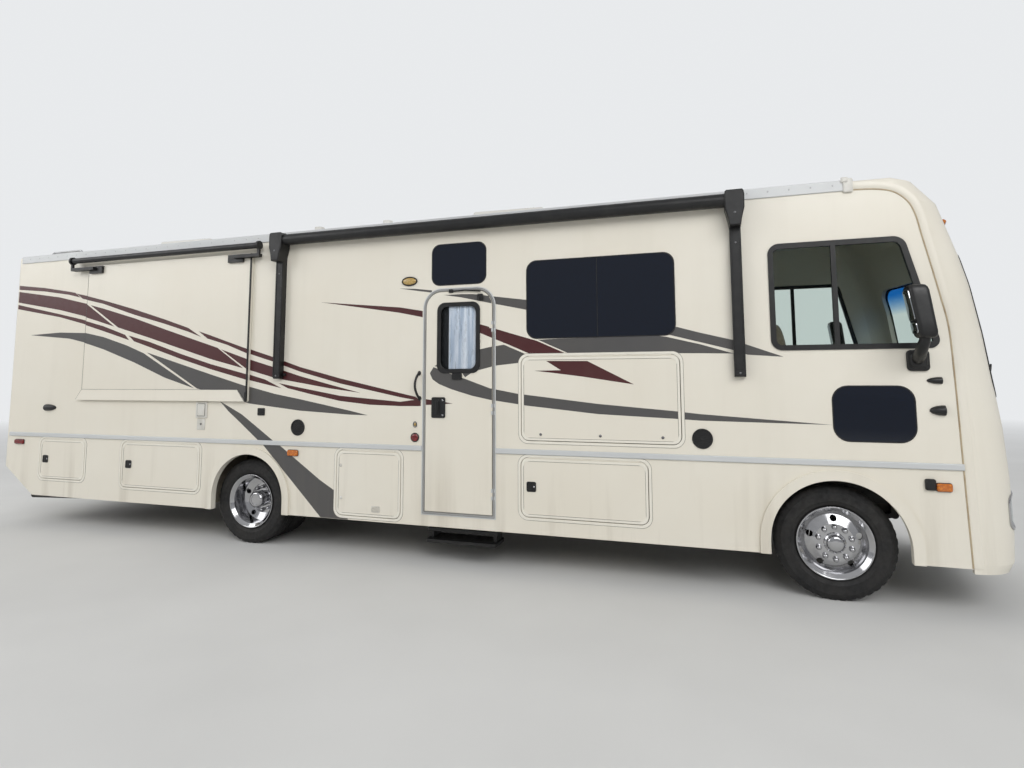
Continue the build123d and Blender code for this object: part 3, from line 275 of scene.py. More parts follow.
SHIELD_GLASS = tinted("windshield_glass", rgb(20, 24, 24), 0.02, 0.97, rgb(244, 249, 247), (2.50, 2.72))
LAMP_GLASS = tinted("lamp_glass", rgb(160, 166, 170), 0.04, 0.95, rgb(250, 252, 253))
SHADE_GLASS = tinted("shade_glass", rgb(10, 14, 18), 0.03, 0.97, rgb(250, 252, 254))
# The second colour is the painted shade of the blind's pleats
SHADE = silvered("window_shade", rgb(252, 253, 255), rgb(196, 206, 218))
FABRIC = fabric("seat_fabric", rgb(128, 116, 100), rgb(104, 94, 82))
AMBER = lens("amber_lens", rgb(222, 134, 20), rgb(184, 96, 12))
RED = lens("red_lens", rgb(150, 18, 20), rgb(96, 8, 12))
CLEAR_LENS = lens("clear_lens", rgb(196, 200, 202), rgb(150, 156, 160))
PORCH = lens("porch_lens", rgb(206, 178, 110), rgb(170, 140, 80))

# Finish of each slot of the CAD, and of the nodes that differ from their slot
SLOT_LOOKS = {
    "body_paint": BODY_PAINT, "roof_skin": ROOF_SKIN, "dark_glass": DARK_GLASS, "clear_glass": CLEAR_GLASS,
    "black_trim": BLACK_PLASTIC, "lamp_lens": RED, "headlamp_lens": CLEAR_LENS, "chassis_steel": CHASSIS,
    "engine_iron": ENGINE_IRON, "chrome": CHROME, "tyre_rubber": RUBBER, "ladder_metal": ALUMINIUM,
    "interior_panel": INTERIOR, "seat_fabric": FABRIC,
}
NODE_LOOKS = {"windshield": SHIELD_GLASS, "mouldings": MOULDING_PAINT_AND_SHADE, "headlamps": LAMP_GLASS}


def finish_nodes():
    """Give each CAD node the finish of its slot."""
    for name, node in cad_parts.items():
        for place in node.material_slots:
            slot = place.material.name.split(".")[0] if place.material else ""
            if slot in SLOT_LOOKS:
                place.link = "DATA"
                place.material = NODE_LOOKS.get(name, SLOT_LOOKS[slot])


# Pieces and outlines


def make(name, mesh_data, finish, body=BODY, slot=None, stands_for=None, smooth=True, angle=35):
    """Object from a bmesh, shaded smooth but for its sharp edges, riding on a body."""
    bmesh.ops.recalc_face_normals(mesh_data, faces=mesh_data.faces)
    mesh = bpy.data.meshes.new(name)
    mesh_data.to_mesh(mesh)
    mesh_data.free()
    piece = bpy.data.objects.new(name, mesh)
    bpy.context.scene.collection.objects.link(piece)
    mesh.materials.append(finish)
    if smooth:
        mesh.shade_smooth()
        mesh.set_sharp_from_angle(angle=math.radians(angle))
    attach(piece, body)
    if stands_for:
        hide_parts(stands_for)
    return piece


def build(name, finish, steps, body=BODY, **more):
    """Piece from steps: each a mesh function and what it takes after the mesh."""
    mesh_data = bmesh.new()
    for draw, *values in steps:
        draw(mesh_data, *values)
    return make(name, mesh_data, finish, body, **more)


def place(across, height, stand, face=RIGHT):
    """Point at a distance out from a face: station and height on a side, else Y and height."""
    if face == REAR:
        return Vector((REAR_WALL + FRONT_AXLE - stand, across, height))
    if face == CAP:
        return cap_point(across, height, stand)
    return Vector((across + FRONT_AXLE, face * (HALF_WIDTH + stand), height))


def turns(steps):
    """Angles of even steps round a circle."""
    return [2 * math.pi * index / steps for index in range(steps)]


def rounded(start, end, low, high, radius, steps=5):
    """Outline of a rounded rectangle, anticlockwise."""
    points = []
    corners = ((end - radius, low + radius, -90), (end - radius, high - radius, 0),
               (start + radius, high - radius, 90), (start + radius, low + radius, 180))
    for x, z, first in corners:
        for step in range(steps + 1):
            angle = math.radians(first + 90 * step / steps)
            points.append((x + radius * math.cos(angle), z + radius * math.sin(angle)))
    return points


def oval(x, z, half_x, half_z, steps=32):
    return [(x + half_x * math.cos(angle), z + half_z * math.sin(angle)) for angle in turns(steps)]


def inset(box, by):
    start, end, low, high = box[:4]
    return start + by, end - by, low + by, high - by


def filleted(corners, radii, by=0.0, steps=6):
    """Outline of a polygon drawn in by a distance, with rounded corners; corners run anticlockwise."""
    count = len(corners)
    lines = []
    for index in range(count):
        a, b = Vector(corners[index]), Vector(corners[(index + 1) % count])
        run = (b - a).normalized()
        lines.append((a + Vector((-run.y, run.x)) * by, run))
    moved = []
    for index in range(count):
        (p, r), (q, t) = lines[index - 1], lines[index]
        share = ((q.x - p.x) * t.y - (q.y - p.y) * t.x) / (r.x * t.y - r.y * t.x)
        moved.append(p + r * share)
    points = []
    for index, corner in enumerate(moved):
        back = (moved[index - 1] - corner).normalized()
        ahead = (moved[(index + 1) % count] - corner).normalized()
        radius = max(radii[index] - by, 0.01)
        half = back.angle(ahead) / 2
        middle = corner + (back + ahead).normalized() * radius / math.sin(half)
        first = corner + back * radius / math.tan(half) - middle
        last = corner + ahead * radius / math.tan(half) - middle
        sweep = first.angle_signed(last)
        for step in range(steps + 1):
            points.append(tuple(middle + Matrix.Rotation(-sweep * step / steps, 2) @ first))
    return points


def fine(outline, longest=0.06):
    """Outline with its long runs divided, so that it can follow a curved face."""
    points = []
    for (ax, az), (bx, bz) in zip(outline, outline[1:] + outline[:1]):
        parts = max(1, math.ceil(math.hypot(bx - ax, bz - az) / longest))
        points += [(ax + (bx - ax) * i / parts, az + (bz - az) * i / parts) for i in range(parts)]
    return points


def shrunk(outline, by):
    """Outline drawn in towards its middle by a distance each way."""
    lows = [min(point[i] for point in outline) for i in (0, 1)]
    highs = [max(point[i] for point in outline) for i in (0, 1)]
    middles = [(low + high) / 2 for low, high in zip(lows, highs)]
    scales = [1 - 2 * by / (high - low) for low, high in zip(lows, highs)]
    return [tuple(middles[i] + (point[i] - middles[i]) * scales[i] for i in (0, 1)) for point in outline]


# Mesh functions, each of which adds to a bmesh. An outline may be given as the numbers of a rounded rectangle


def skin(mesh_data, rows):
    """Faces between rows of vertices; a row of one vertex is a pole."""
    for first, second in zip(rows, rows[1:]):
        for index in range(max(len(first), len(second))):
            corners = []
            for row, spots in ((first, (index, index + 1)), (second, (index + 1, index))):
                for spot in spots:
                    vert = row[spot % len(row)]
                    if vert not in corners:
                        corners.append(vert)
            mesh_data.faces.new(corners)


def stack(mesh_data, rings, loop=False):
    """Skin over rings of points, closed at both ends or joined last to first."""
    rows = [[mesh_data.verts.new(point) for point in ring] for ring in rings]
    skin(mesh_data, rows + rows[:1] if loop else rows)
    if not loop:
        mesh_data.faces.new(rows[0][::-1])
        mesh_data.faces.new(rows[-1])


def drawn(outline):
    return outline if isinstance(outline, list) else rounded(*outline)


def slab(mesh_data, outline, inner, outer, edge=0.0, face=RIGHT):
    """Plate on a face between two stands, with a chamfered outer edge."""
    outline = drawn(outline)
    levels = [(outline, inner)]
    if edge:
        levels.append((outline, outer - edge))
        outline = shrunk(outline, edge)
    levels.append((outline, outer))
    stack(mesh_data, [[place(x, z, stand, face) for x, z in line] for line, stand in levels])


def ring(mesh_data, outline, width, inner, outer, edge=0.0015, face=RIGHT):
    """Frame on a face that follows an outline, of a given width inwards."""
    outline = drawn(outline)
    inside_line = shrunk(outline, width)
    levels = ((outline, inner), (outline, outer - edge), (shrunk(outline, edge), outer),
              (shrunk(outline, width - edge), outer), (inside_line, outer - edge), (inside_line, inner))
    stack(mesh_data, [[place(x, z, stand, face) for x, z in line] for line, stand in levels], loop=True)


def tube(mesh_data, points, radius, sides=12):
    """Round bar along a line of points, with closed ends; radius is one number or one for each point."""
    points = [Vector(point) for point in points]
    rings = []
    across = None
    for index, point in enumerate(points):
        run = (points[min(index + 1, len(points) - 1)] - points[max(index - 1, 0)]).normalized()
        if across is None:
            across = run.cross(Vector((0, 0, 1)) if abs(run.z) < 0.95 else Vector((1, 0, 0)))
        else:
            across = across - run * across.dot(run)
        across.normalize()
        other = run.cross(across)
        size = radius[index] if isinstance(radius, list) else radius
        rings.append([point + size * (math.cos(a) * across + math.sin(a) * other) for a in turns(sides)])
    stack(mesh_data, rings)


def lathe(mesh_data, centre, axis, profile, steps=32, shape=None):
    """Skin turned about a direction or that of a side; the profile has radius and distance along it."""
    if isinstance(axis, int):
        axis, across, other = Vector((0, axis, 0)), Vector((1, 0, 0)), Vector((0, 0, 1))
    else:
        axis = Vector(axis).normalized()
        across = axis.cross(Vector((0, 0, 1))).normalized()
        other = axis.cross(across)
    rows = []
    for radius, out in profile:
        row = []
        for index, angle in enumerate(turns(steps) if radius else [0]):
            here, push = shape(radius, out, index) if shape else (radius, out)
            spoke = math.cos(angle) * across + math.sin(angle) * other
            row.append(mesh_data.verts.new(Vector(centre) + axis * push + here * spoke))
        rows.append(row)
    skin(mesh_data, rows)


def dome(mesh_data, x, z, radius, stand, height, steps=20, flat=1.0, side=RIGHT):
    """Low round cap on a side; flat is its height over its width."""
    rings = []
    for level in range(5):
        angle = math.radians(18 * level)
        rings.append([place(px, pz, stand + height * math.sin(angle), side) for px, pz in
                      oval(x, z, radius * math.cos(angle), flat * radius * math.cos(angle), steps)])
    stack(mesh_data, rings)


def pad(mesh_data, centre, size, tilt=0.0, power=0.45, crown=0.0, levels=28, steps=28):
    """Stuffed closed form: rounded box whose faces swell."""
    turn = Matrix.Rotation(tilt, 3, "Y")

    def bend(value):
        return math.copysign(abs(value) ** power, value)

    rows = []
    for level in range(levels + 1):
        rise = math.pi * level / levels - math.pi / 2
        row = []
        for angle in turns(steps) if 0 < level < levels else [0]:
            x = size[0] / 2 * bend(math.cos(rise)) * bend(math.cos(angle))
            y = size[1] / 2 * bend(math.cos(rise)) * bend(math.sin(angle))
            z = size[2] / 2 * bend(math.sin(rise))
            z *= 1 + crown * (1 - (2 * x / size[0]) ** 2) * (1 - (2 * y / size[1]) ** 2)
            row.append(mesh_data.verts.new(Vector(centre) + turn @ Vector((x, y, z))))
        rows.append(row)
    skin(mesh_data, rows)


# Panels of the sides: first and last station, bottom, top and in places a corner radius

DOOR_STAND = 0.007
SLIDE_STAND = 0.029
ENTRY = (-3.660, -2.883, 0.468, 2.700, 0.200)
ENTRY_FRAME = 0.032
ENTRY_GAP = 0.006
COMPARTMENT = (-2.630, -1.167, 1.210, 2.000)
MAIN_WINDOW = (-2.570, -1.195, 2.170, 2.920, 0.100)
TRANSOM = (-3.570, -2.984, 2.730, 3.150, 0.090)
LOWER_WINDOW = (0.015, 0.600, 1.280, 1.725, 0.120)
DOOR_WINDOW = (-3.490, -3.056, 1.860, 2.540, 0.070)
BEDROOM_WINDOW = (-8.150, -7.150, 2.250, 2.850, 0.100)
GALLEY_WINDOW = (-3.900, -2.100, 2.150, 2.800, 0.100)
BEDROOM_SLIDE = (-8.307, -5.790, 1.550, 3.220)
GALLEY_SLIDE = (-4.800, -1.250, 1.170, 3.120)
STORAGE_DOORS = {
    "right_storage_door_1": (RIGHT, -8.990, -8.220, 0.570, 1.060),
    "right_storage_door_2": (RIGHT, -7.620, -6.440, 0.530, 1.060),
    "right_storage_door_3": (RIGHT, -4.640, -3.890, 0.400, 1.060),
    "right_storage_door_4": (RIGHT, -2.636, -1.460, 0.510, 1.055),
    "left_storage_door_1": (LEFT, -8.990, -8.220, 0.570, 1.060),
    "left_storage_door_2": (LEFT, -7.620, -6.440, 0.530, 1.060),
    "left_storage_door_3": (LEFT, -4.640, -2.300, 0.470, 1.060),
}
PLAIN_DOOR = "right_storage_door_3"

# Stripes: outlines in station and height on the right side; the left side has their mirror image

MAROON_STRIPES = (
    ((-9.60, 3.045), (-9.11, 2.990), (-8.71, 2.927), (-8.56, 2.901), (-8.46, 2.834), (-8.67, 2.880),
     (-9.11, 2.944), (-9.60, 2.990)),
    ((-8.54, 2.890), (-8.29, 2.839), (-8.03, 2.778), (-7.51, 2.644), (-7.03, 2.506), (-6.67, 2.395),
     (-6.47, 2.283), (-6.67, 2.351), (-7.02, 2.451), (-7.51, 2.578), (-8.02, 2.731), (-8.29, 2.790),
     (-8.42, 2.816)),
    ((-6.51, 2.350), (-6.33, 2.296), (-5.89, 2.157), (-5.45, 2.029), (-5.13, 1.926), (-4.62, 1.801),
     (-3.91, 1.650), (-3.74, 1.615), (-3.68, 1.575), (-3.75, 1.584), (-3.91, 1.609), (-4.62, 1.748),
     (-5.13, 1.877), (-5.45, 1.979), (-5.80, 2.078), (-6.10, 2.186), (-6.38, 2.263)),
    ((-9.60, 2.963), (-8.83, 2.854), (-8.31, 2.743), (-7.82, 2.443), (-8.00, 2.492), (-8.40, 2.600),
     (-8.81, 2.689), (-9.60, 2.821)),
    ((-8.24, 2.725), (-8.02, 2.673), (-7.51, 2.537), (-7.02, 2.388), (-6.55, 2.248), (-6.23, 2.154),
     (-5.86, 1.918), (-6.31, 2.024), (-6.77, 2.155), (-7.25, 2.292), (-7.76, 2.431)),
    ((-6.18, 2.136), (-5.80, 2.017), (-5.45, 1.921), (-5.13, 1.829), (-4.75, 1.738), (-4.38, 1.652),
     (-4.74, 1.696), (-5.12, 1.756), (-5.44, 1.806), (-5.79, 1.896)),
    ((-9.60, 2.790), (-8.81, 2.636), (-8.40, 2.552), (-8.00, 2.453), (-7.64, 2.339), (-7.57, 2.272),
     (-7.99, 2.391), (-8.39, 2.500), (-8.80, 2.596), (-9.60, 2.733)),
    ((-7.58, 2.328), (-7.24, 2.242), (-6.76, 2.093), (-6.31, 1.968), (-5.79, 1.847), (-5.58, 1.792),
     (-5.36, 1.698), (-5.79, 1.785), (-6.31, 1.911), (-6.76, 2.035), (-7.24, 2.181), (-7.49, 2.256)),
    ((-5.40, 1.753), (-5.12, 1.704), (-4.62, 1.620), (-3.91, 1.563), (-3.75, 1.584), (-3.68, 1.575),
     (-3.68, 1.522), (-3.91, 1.520), (-4.26, 1.530), (-4.62, 1.566), (-4.99, 1.637), (-5.28, 1.698)),
    ((-3.62, 1.592), (-3.54, 1.582), (-3.33, 1.552), (-3.53, 1.536), (-3.62, 1.535)),
    ((-4.89, 2.621), (-3.93, 2.527), (-3.67, 2.480), (-3.67, 2.416), (-3.93, 2.471), (-4.40, 2.545)),
    ((-3.06, 2.330), (-2.74, 2.230), (-2.47, 2.149), (-2.15, 2.006), (-2.50, 2.009), (-2.74, 2.113),
     (-3.06, 2.245)),
    ((-2.38, 1.957), (-1.99, 1.952), (-1.57, 1.737), (-2.03, 1.808), (-2.31, 1.844), (-2.50, 1.866),
     (-2.24, 1.869)),
)
GREY_STRIPES = (
    ((-9.31, 2.379), (-8.78, 2.399), (-8.30, 2.379), (-7.99, 2.320), (-7.60, 2.208), (-7.33, 2.111),
     (-6.54, 1.695), (-6.98, 1.817), (-7.47, 2.002), (-7.98, 2.169), (-8.29, 2.251), (-8.61, 2.317),
     (-9.05, 2.355)),
    ((-7.28, 2.119), (-6.76, 1.976), (-6.30, 1.850), (-5.78, 1.712), (-5.45, 1.637), (-5.12, 1.581),
     (-4.49, 1.465), (-4.28, 1.422), (-4.49, 1.425), (-5.11, 1.458), (-5.45, 1.494), (-5.78, 1.528),
     (-6.07, 1.600), (-6.50, 1.694)),
    ((-6.19, 1.551), (-5.88, 1.408), (-5.64, 1.255), (-5.45, 1.132), (-5.65, 1.132), (-5.89, 1.313),
     (-6.06, 1.436)),
    ((-5.58, 1.084), (-5.36, 1.084), (-4.84, 0.743), (-4.64, 0.633), (-4.49, 0.362), (-4.82, 0.362)),
    ((-3.94, 2.724), (-3.76, 2.712), (-3.57, 2.686), (-3.57, 2.663), (-3.76, 2.693)),
    ((-3.43, 2.630), (-3.25, 2.632), (-3.11, 2.625), (-2.96, 2.602), (-2.57, 2.545), (-2.57, 2.449),
     (-2.96, 2.534), (-3.25, 2.600)),
    ((-3.06, 2.075), (-2.95, 2.098), (-2.80, 2.119), (-2.53, 2.002), (-2.62, 1.945), (-2.88, 1.919),
     (-3.06, 1.876), (-3.14, 1.846), (-3.20, 1.807), (-3.24, 1.864), (-3.09, 1.870), (-3.06, 1.897)),
    ((-3.53, 1.920), (-3.49, 1.940), (-3.49, 1.910)),
    ((-3.54, 1.910), (-3.42, 1.864), (-3.33, 1.833), (-3.20, 1.792), (-2.94, 1.700), (-2.63, 1.643),
     (-2.58, 1.640), (-1.90, 1.561), (-1.22, 1.504), (-1.01, 1.482), (0.01, 1.410), (-1.01, 1.426),
     (-1.22, 1.438), (-1.90, 1.469), (-2.58, 1.539), (-2.94, 1.590), (-3.13, 1.629), (-3.35, 1.692),
     (-3.48, 1.742), (-3.55, 1.788), (-3.58, 1.849)),
    ((-2.46, 2.159), (-2.25, 2.165), (-1.36, 2.170), (-1.28, 2.158), (-0.99, 2.084), (-0.72, 2.000),
     (-1.00, 2.007), (-1.24, 2.011), (-2.11, 2.001)),
    ((-1.19, 2.244), (-0.99, 2.186), (-0.71, 2.113), (-0.61, 2.073), (-0.33, 1.966), (-0.61, 1.988),
     (-0.72, 2.029), (-0.99, 2.103), (-1.30, 2.187)),
)
STRIPE_LIFT = 0.0001
STRIPE_SKIN = 0.0006
REAR_TANGENT = REAR_WALL + REAR_CORNER
WRAP_CUTS = tuple(REAR_TANGENT - 0.018 * step for step in range(8))


def door_zones(body, box):
    """A door's share of the stripes and the bare ring of its trims."""
    return [(body, rounded(*inset(box, 0.030), 0.05), 0), (None, rounded(*inset(box, -0.026), 0.1), 0)]


def zones(side):
    """Panels in the order they take their share of a stripe: body or None for bare, outline, stand."""
    if side == RIGHT:
        entry_inset = ENTRY_FRAME + ENTRY_GAP
        found = [
            (None, rounded(*MAIN_WINDOW), 0),
            (None, rounded(*TRANSOM), 0),
            (None, rounded(*inset(DOOR_WINDOW, -0.012), 0.08), 0),
            (ENTRY_DOOR, rounded(*inset(ENTRY, entry_inset), ENTRY[4] - entry_inset), DOOR_STAND),
            (None, rounded(*ENTRY), 0),
            *door_zones("compartment_door", COMPARTMENT),
            ("bedroom_slide", rounded(*BEDROOM_SLIDE, 0.014), SLIDE_STAND),
        ]
    else:
        found = [
            (None, rounded(*inset(GALLEY_WINDOW, -0.004), 0.1), 0),
            ("galley_slide", rounded(*GALLEY_SLIDE, 0.014), SLIDE_STAND),
            (None, rounded(*BEDROOM_WINDOW), 0),
        ]
    for name, (door_side, *box) in STORAGE_DOORS.items():
        if door_side == side:
            found += door_zones(None if name == PLAIN_DOOR else name, box)
    return found


def flat_sheet(outlines):
    """Mesh of flat faces in station and height."""
    sheet = bmesh.new()
    for outline in outlines:
        points = [Vector((x, z, 0)) for x, z in outline]
        verts = [sheet.verts.new(point) for point in points]
        for triangle in tessellate_polygon([points]):
            sheet.faces.new([verts[index] for index in triangle])
    bmesh.ops.recalc_face_normals(sheet, faces=sheet.faces)
    return sheet


def bisect(sheet, point, normal):
    geometry = sheet.verts[:] + sheet.edges[:] + sheet.faces[:]
    bmesh.ops.bisect_plane(sheet, geom=geometry, dist=1e-6, plane_co=point, plane_no=normal)


def inside(point, outline):
    """Whether a point lies in a convex outline drawn anticlockwise."""
    return all((bx - ax) * (point.y - az) - (bz - az) * (point.x - ax) >= 0
               for (ax, az), (bx, bz) in zip(outline, outline[1:] + outline[:1]))


def taken(sheet, outline):
    """Cut the part of a sheet that lies in an outline out of it and return that part, or None."""
    for i in (0, 1):
        spots = [vert.co[i] for vert in sheet.verts]
        edges = [point[i] for point in outline]
        if not spots or min(edges) > max(spots) or max(edges) < min(spots):
            return None
    for (ax, az), (bx, bz) in zip(outline, outline[1:] + outline[:1]):
        if abs(ax - bx) + abs(az - bz) > 1e-5:
            bisect(sheet, (ax, az, 0), (bz - az, ax - bx, 0))
    part = sheet.copy()
    for mesh_data, keep in ((part, True), (sheet, False)):
        gone = [face for face in mesh_data.faces if inside(face.calc_center_median(), outline) != keep]
        bmesh.ops.delete(mesh_data, geom=gone, context="FACES")
        loose = [vert for vert in mesh_data.verts if not vert.link_faces]
        bmesh.ops.delete(mesh_data, geom=loose, context="VERTS")
    return part if part.faces else None


def on_side(station, height, stand, side):
    """Point on the side wall, which turns round the corner into the rear face."""
    if station >= REAR_TANGENT:
        return place(station, height, stand, side)
    turn = (REAR_TANGENT - station) / REAR_CORNER
    reach = REAR_CORNER + stand
    past = max(REAR_TANGENT - station - REAR_CORNER * math.pi / 2, 0)
    turn = min(turn, math.pi / 2)
    return Vector((REAR_TANGENT - reach * math.sin(turn) + FRONT_AXLE,
                   side * (HALF_WIDTH - REAR_CORNER - past + reach * math.cos(turn)), height))


def lay_stripe(sheet, name, stand, side, finish, body):
    """Thin skin of a sheet on the side of a body."""
    bmesh.ops.remove_doubles(sheet, verts=sheet.verts, dist=1e-5)
    bmesh.ops.dissolve_limit(sheet, angle_limit=0.002, verts=sheet.verts, edges=sheet.edges)
    if body == BODY:
        for cut in WRAP_CUTS:
            bisect(sheet, (cut, 0, 0), (1, 0, 0))
    bmesh.ops.triangulate(sheet, faces=sheet.faces)
    grown = bmesh.ops.extrude_face_region(sheet, geom=sheet.faces[:], use_keep_orig=True)
    raised = {vert for vert in grown["geom"] if isinstance(vert, bmesh.types.BMVert)}
    for vert in sheet.verts:
        level = stand + (STRIPE_SKIN if vert in raised else STRIPE_LIFT)
        vert.co = on_side(vert.co.x, vert.co.y, level, side)
    make(name, sheet, finish, body, smooth=False)


def make_stripes():
    for side, word in SIDES:
        for colour, outlines, finish in (("maroon", MAROON_STRIPES, STRIPE_MAROON),
                                         ("grey", GREY_STRIPES, STRIPE_GREY)):
            rest = flat_sheet(outlines)
            for body, outline, stand in zones(side):
                part = taken(rest, outline)
                if part and body:
                    lay_stripe(part, f"{body}_{word}_{colour}_stripes", stand, side, finish, body)
                elif part:
                    part.free()
            lay_stripe(rest, f"wall_{word}_{colour}_stripes", 0, side, finish, BODY)


# Wheels: name, word of the tyre node, station, track, side, how far in each tyre stands

TYRE_RADIUS = 0.455
DUAL_SPACING = 0.290
TREAD_STEPS = 240
WHEELS = (
    ("front_right", "tyre", 0.0, 1.070, RIGHT, (0,)),
    ("front_left", "tyre", 0.0, 1.070, LEFT, (0,)),
    ("rear_right", "tyres", REAR_AXLE, 1.078, RIGHT, (0, DUAL_SPACING)),
    ("rear_left", "tyres", REAR_AXLE, 1.078, LEFT, (0, DUAL_SPACING)),
)
TYRE_SIDEWALL = (
    (0.262, -0.086), (0.289, -0.086), (0.294, -0.094), (0.300, -0.098), (0.304, -0.103), (0.330, -0.1115),
    (0.334, -0.1145), (0.340, -0.1145), (0.344, -0.1135), (0.372, -0.1175), (0.400, -0.1150),
    (0.402, -0.1165), (0.408, -0.1150), (0.410, -0.1120), (0.430, -0.104), (0.4435, -0.096),
)
HALF_TREAD = 0.088
GROOVES = (-0.058, -0.020, 0.020, 0.058)
GROOVE_DEPTH = 0.009
FRONT_HUB = ((0.084, 0.096), (0.082, 0.104), (0.074, 0.112), (0.064, 0.129), (0.060, 0.141), (0.050, 0.147),
             (0.020, 0.150), (0, 0.150))
REAR_HUB = ((0.090, -0.096), (0.0885, 0.022), (0.084, 0.032), (0.074, 0.042), (0.060, 0.046), (0.052, 0.044),
            (0.050, 0.036), (0, 0.036))
RIM_BEAD = ((0.2865, 0.104), (0.2890, 0.107), (0.2880, 0.1115), (0.2835, 0.1130), (0.2790, 0.1110),
            (0.2745, 0.1065))
NUT = ((0.0225, -0.004), (0.0220, 0.005), (0.0190, 0.010), (0.0180, 0.030), (0.0145, 0.039), (0.0060, 0.043),
       (0, 0.044))
NUT_CIRCLE = 0.128
NUT_COUNT = 10
DISC_STAND = 0.096


def tread_cut(radius, out, index):
    """Radius with the shoulder cuts and the notches of the middle ribs taken off."""
    if radius > 0.4385 and abs(out) > 0.064 and index % 6 in (0, 1):
        return radius - 0.006, out
    if radius > 0.450 and 0.026 < abs(out) < 0.053 and index % 6 == 3:
        return radius - 0.003, out
    return radius, out


def make_tyres():
    """Tyres with sidewall rings, four tread grooves and cut shoulders."""
    tread = [(TYRE_RADIUS - 0.004, -HALF_TREAD), (TYRE_RADIUS, -HALF_TREAD + 0.008)]
    for middle in GROOVES:
        tread += [(TYRE_RADIUS, middle - 0.006), (TYRE_RADIUS - GROOVE_DEPTH, middle - 0.0045),
                  (TYRE_RADIUS - GROOVE_DEPTH, middle + 0.0045), (TYRE_RADIUS, middle + 0.006)]
    tread += [(TYRE_RADIUS, HALF_TREAD - 0.008), (TYRE_RADIUS - 0.004, HALF_TREAD)]
    profile = [*TYRE_SIDEWALL, *tread, *((radius, -out) for radius, out in reversed(TYRE_SIDEWALL))]
    profile.append(profile[0])
    for name, word, station, track, side, offsets in WHEELS:
        mesh_data = bmesh.new()
        for offset in offsets:
            centre = (station + FRONT_AXLE, side * (track - offset), TYRE_RADIUS)
            lathe(mesh_data, centre, side, profile, TREAD_STEPS, tread_cut)
        bmesh.ops.remove_doubles(mesh_data, verts=mesh_data.verts, dist=1e-6)
        node = f"{name}_{word}"
        make(node + "_tread", mesh_data, RUBBER, name + "_wheel", stands_for=node, angle=28)


def make_wheel_trim():
    """Bright nuts, hub covers, beads and valves on the wheels."""
    for name, _, station, track, side, offsets in WHEELS:
        front = len(offsets) == 1
        body = name + "_wheel"
        centre = Vector((station + FRONT_AXLE, side * track, TYRE_RADIUS))
        disc = DISC_STAND if front else -DISC_STAND
        nut = [(radius, disc + out) for radius, out in NUT]
        steps = []
        for index in range(NUT_COUNT):
            angle = 2 * math.pi * (index + 0.5) / NUT_COUNT
            spot = centre + Vector((NUT_CIRCLE * math.cos(angle), 0, NUT_CIRCLE * math.sin(angle)))
            steps.append((lathe, spot, side, nut, 20))
        hub = FRONT_HUB if front else REAR_HUB
        steps += [(lathe, centre, side, hub, 48), (lathe, centre, side, RIM_BEAD, 72)]
        build(body + "_bright_trim", CHROME, steps, body, angle=50)
        foot = centre + Vector((-0.2088, side * (0.050 if front else -0.075), 0.0812))
        line = [foot + Vector((0, side * out, 0)) for out in (0, 0.030, 0.042)]
        build(body + "_valve", BLACK_PLASTIC, [(tube, line, [0.006, 0.006, 0.004], 10)], body)


# Rings round a door: word, reach past its edge at three sides and at the top, corner radius, width, inner and
# outer stand, chamfer, finish, whether it's on the door. The grey lines stand for shadow and sealant

DOOR_RINGS = (
    ("surround", 0.024, 0.0275, 0.092, 0.021, 0.0002, 0.004, 0.0015, TRIM_PAINT, False),
    ("edging", -0.007, -0.011, 0.066, 0.020, 0.0002, 0.004, 0.0015, TRIM_PAINT, True),
    ("outer_line", 0.0275, 0.031, 0.0955, 0.0033, 0.0001, 0.0012, 0.0004, SHADOW_SEALANT_LINE, False),
    ("inner_line", -0.0272, -0.0312, 0.046, 0.0033, 0.0001, 0.0012, 0.0004, SHADOW_SEALANT_LINE, True),
)
LATCHES = (
    ("right_storage_door_1", RIGHT, -8.888, 0.812),
    ("right_storage_door_2", RIGHT, -7.504, 0.800),
    ("right_storage_door_4", RIGHT, -2.532, 0.790),
    ("left_storage_door_1", LEFT, -8.888, 0.812),
    ("left_storage_door_2", LEFT, -7.504, 0.800),
    ("left_storage_door_3", LEFT, -4.530, 0.790),
    ("left_storage_door_3", LEFT, -2.410, 0.790),
)
COMPARTMENT_LOCKS = (-2.440, -1.880, -1.330)
DOOR_3_VENT = (-4.219, -4.124, 0.453, 0.513, 0.008)
SHADE_FOLDS = 56
BELL = (-3.740, 1.340)
ROUND_LAMP = (-3.740, 1.212)
DOOR_3_LOCKS = ((-4.592, 0.905), (-4.578, 0.578))


def square(x, z, half, radius):
    return rounded(x - half, x + half, z - half, z + half, radius)


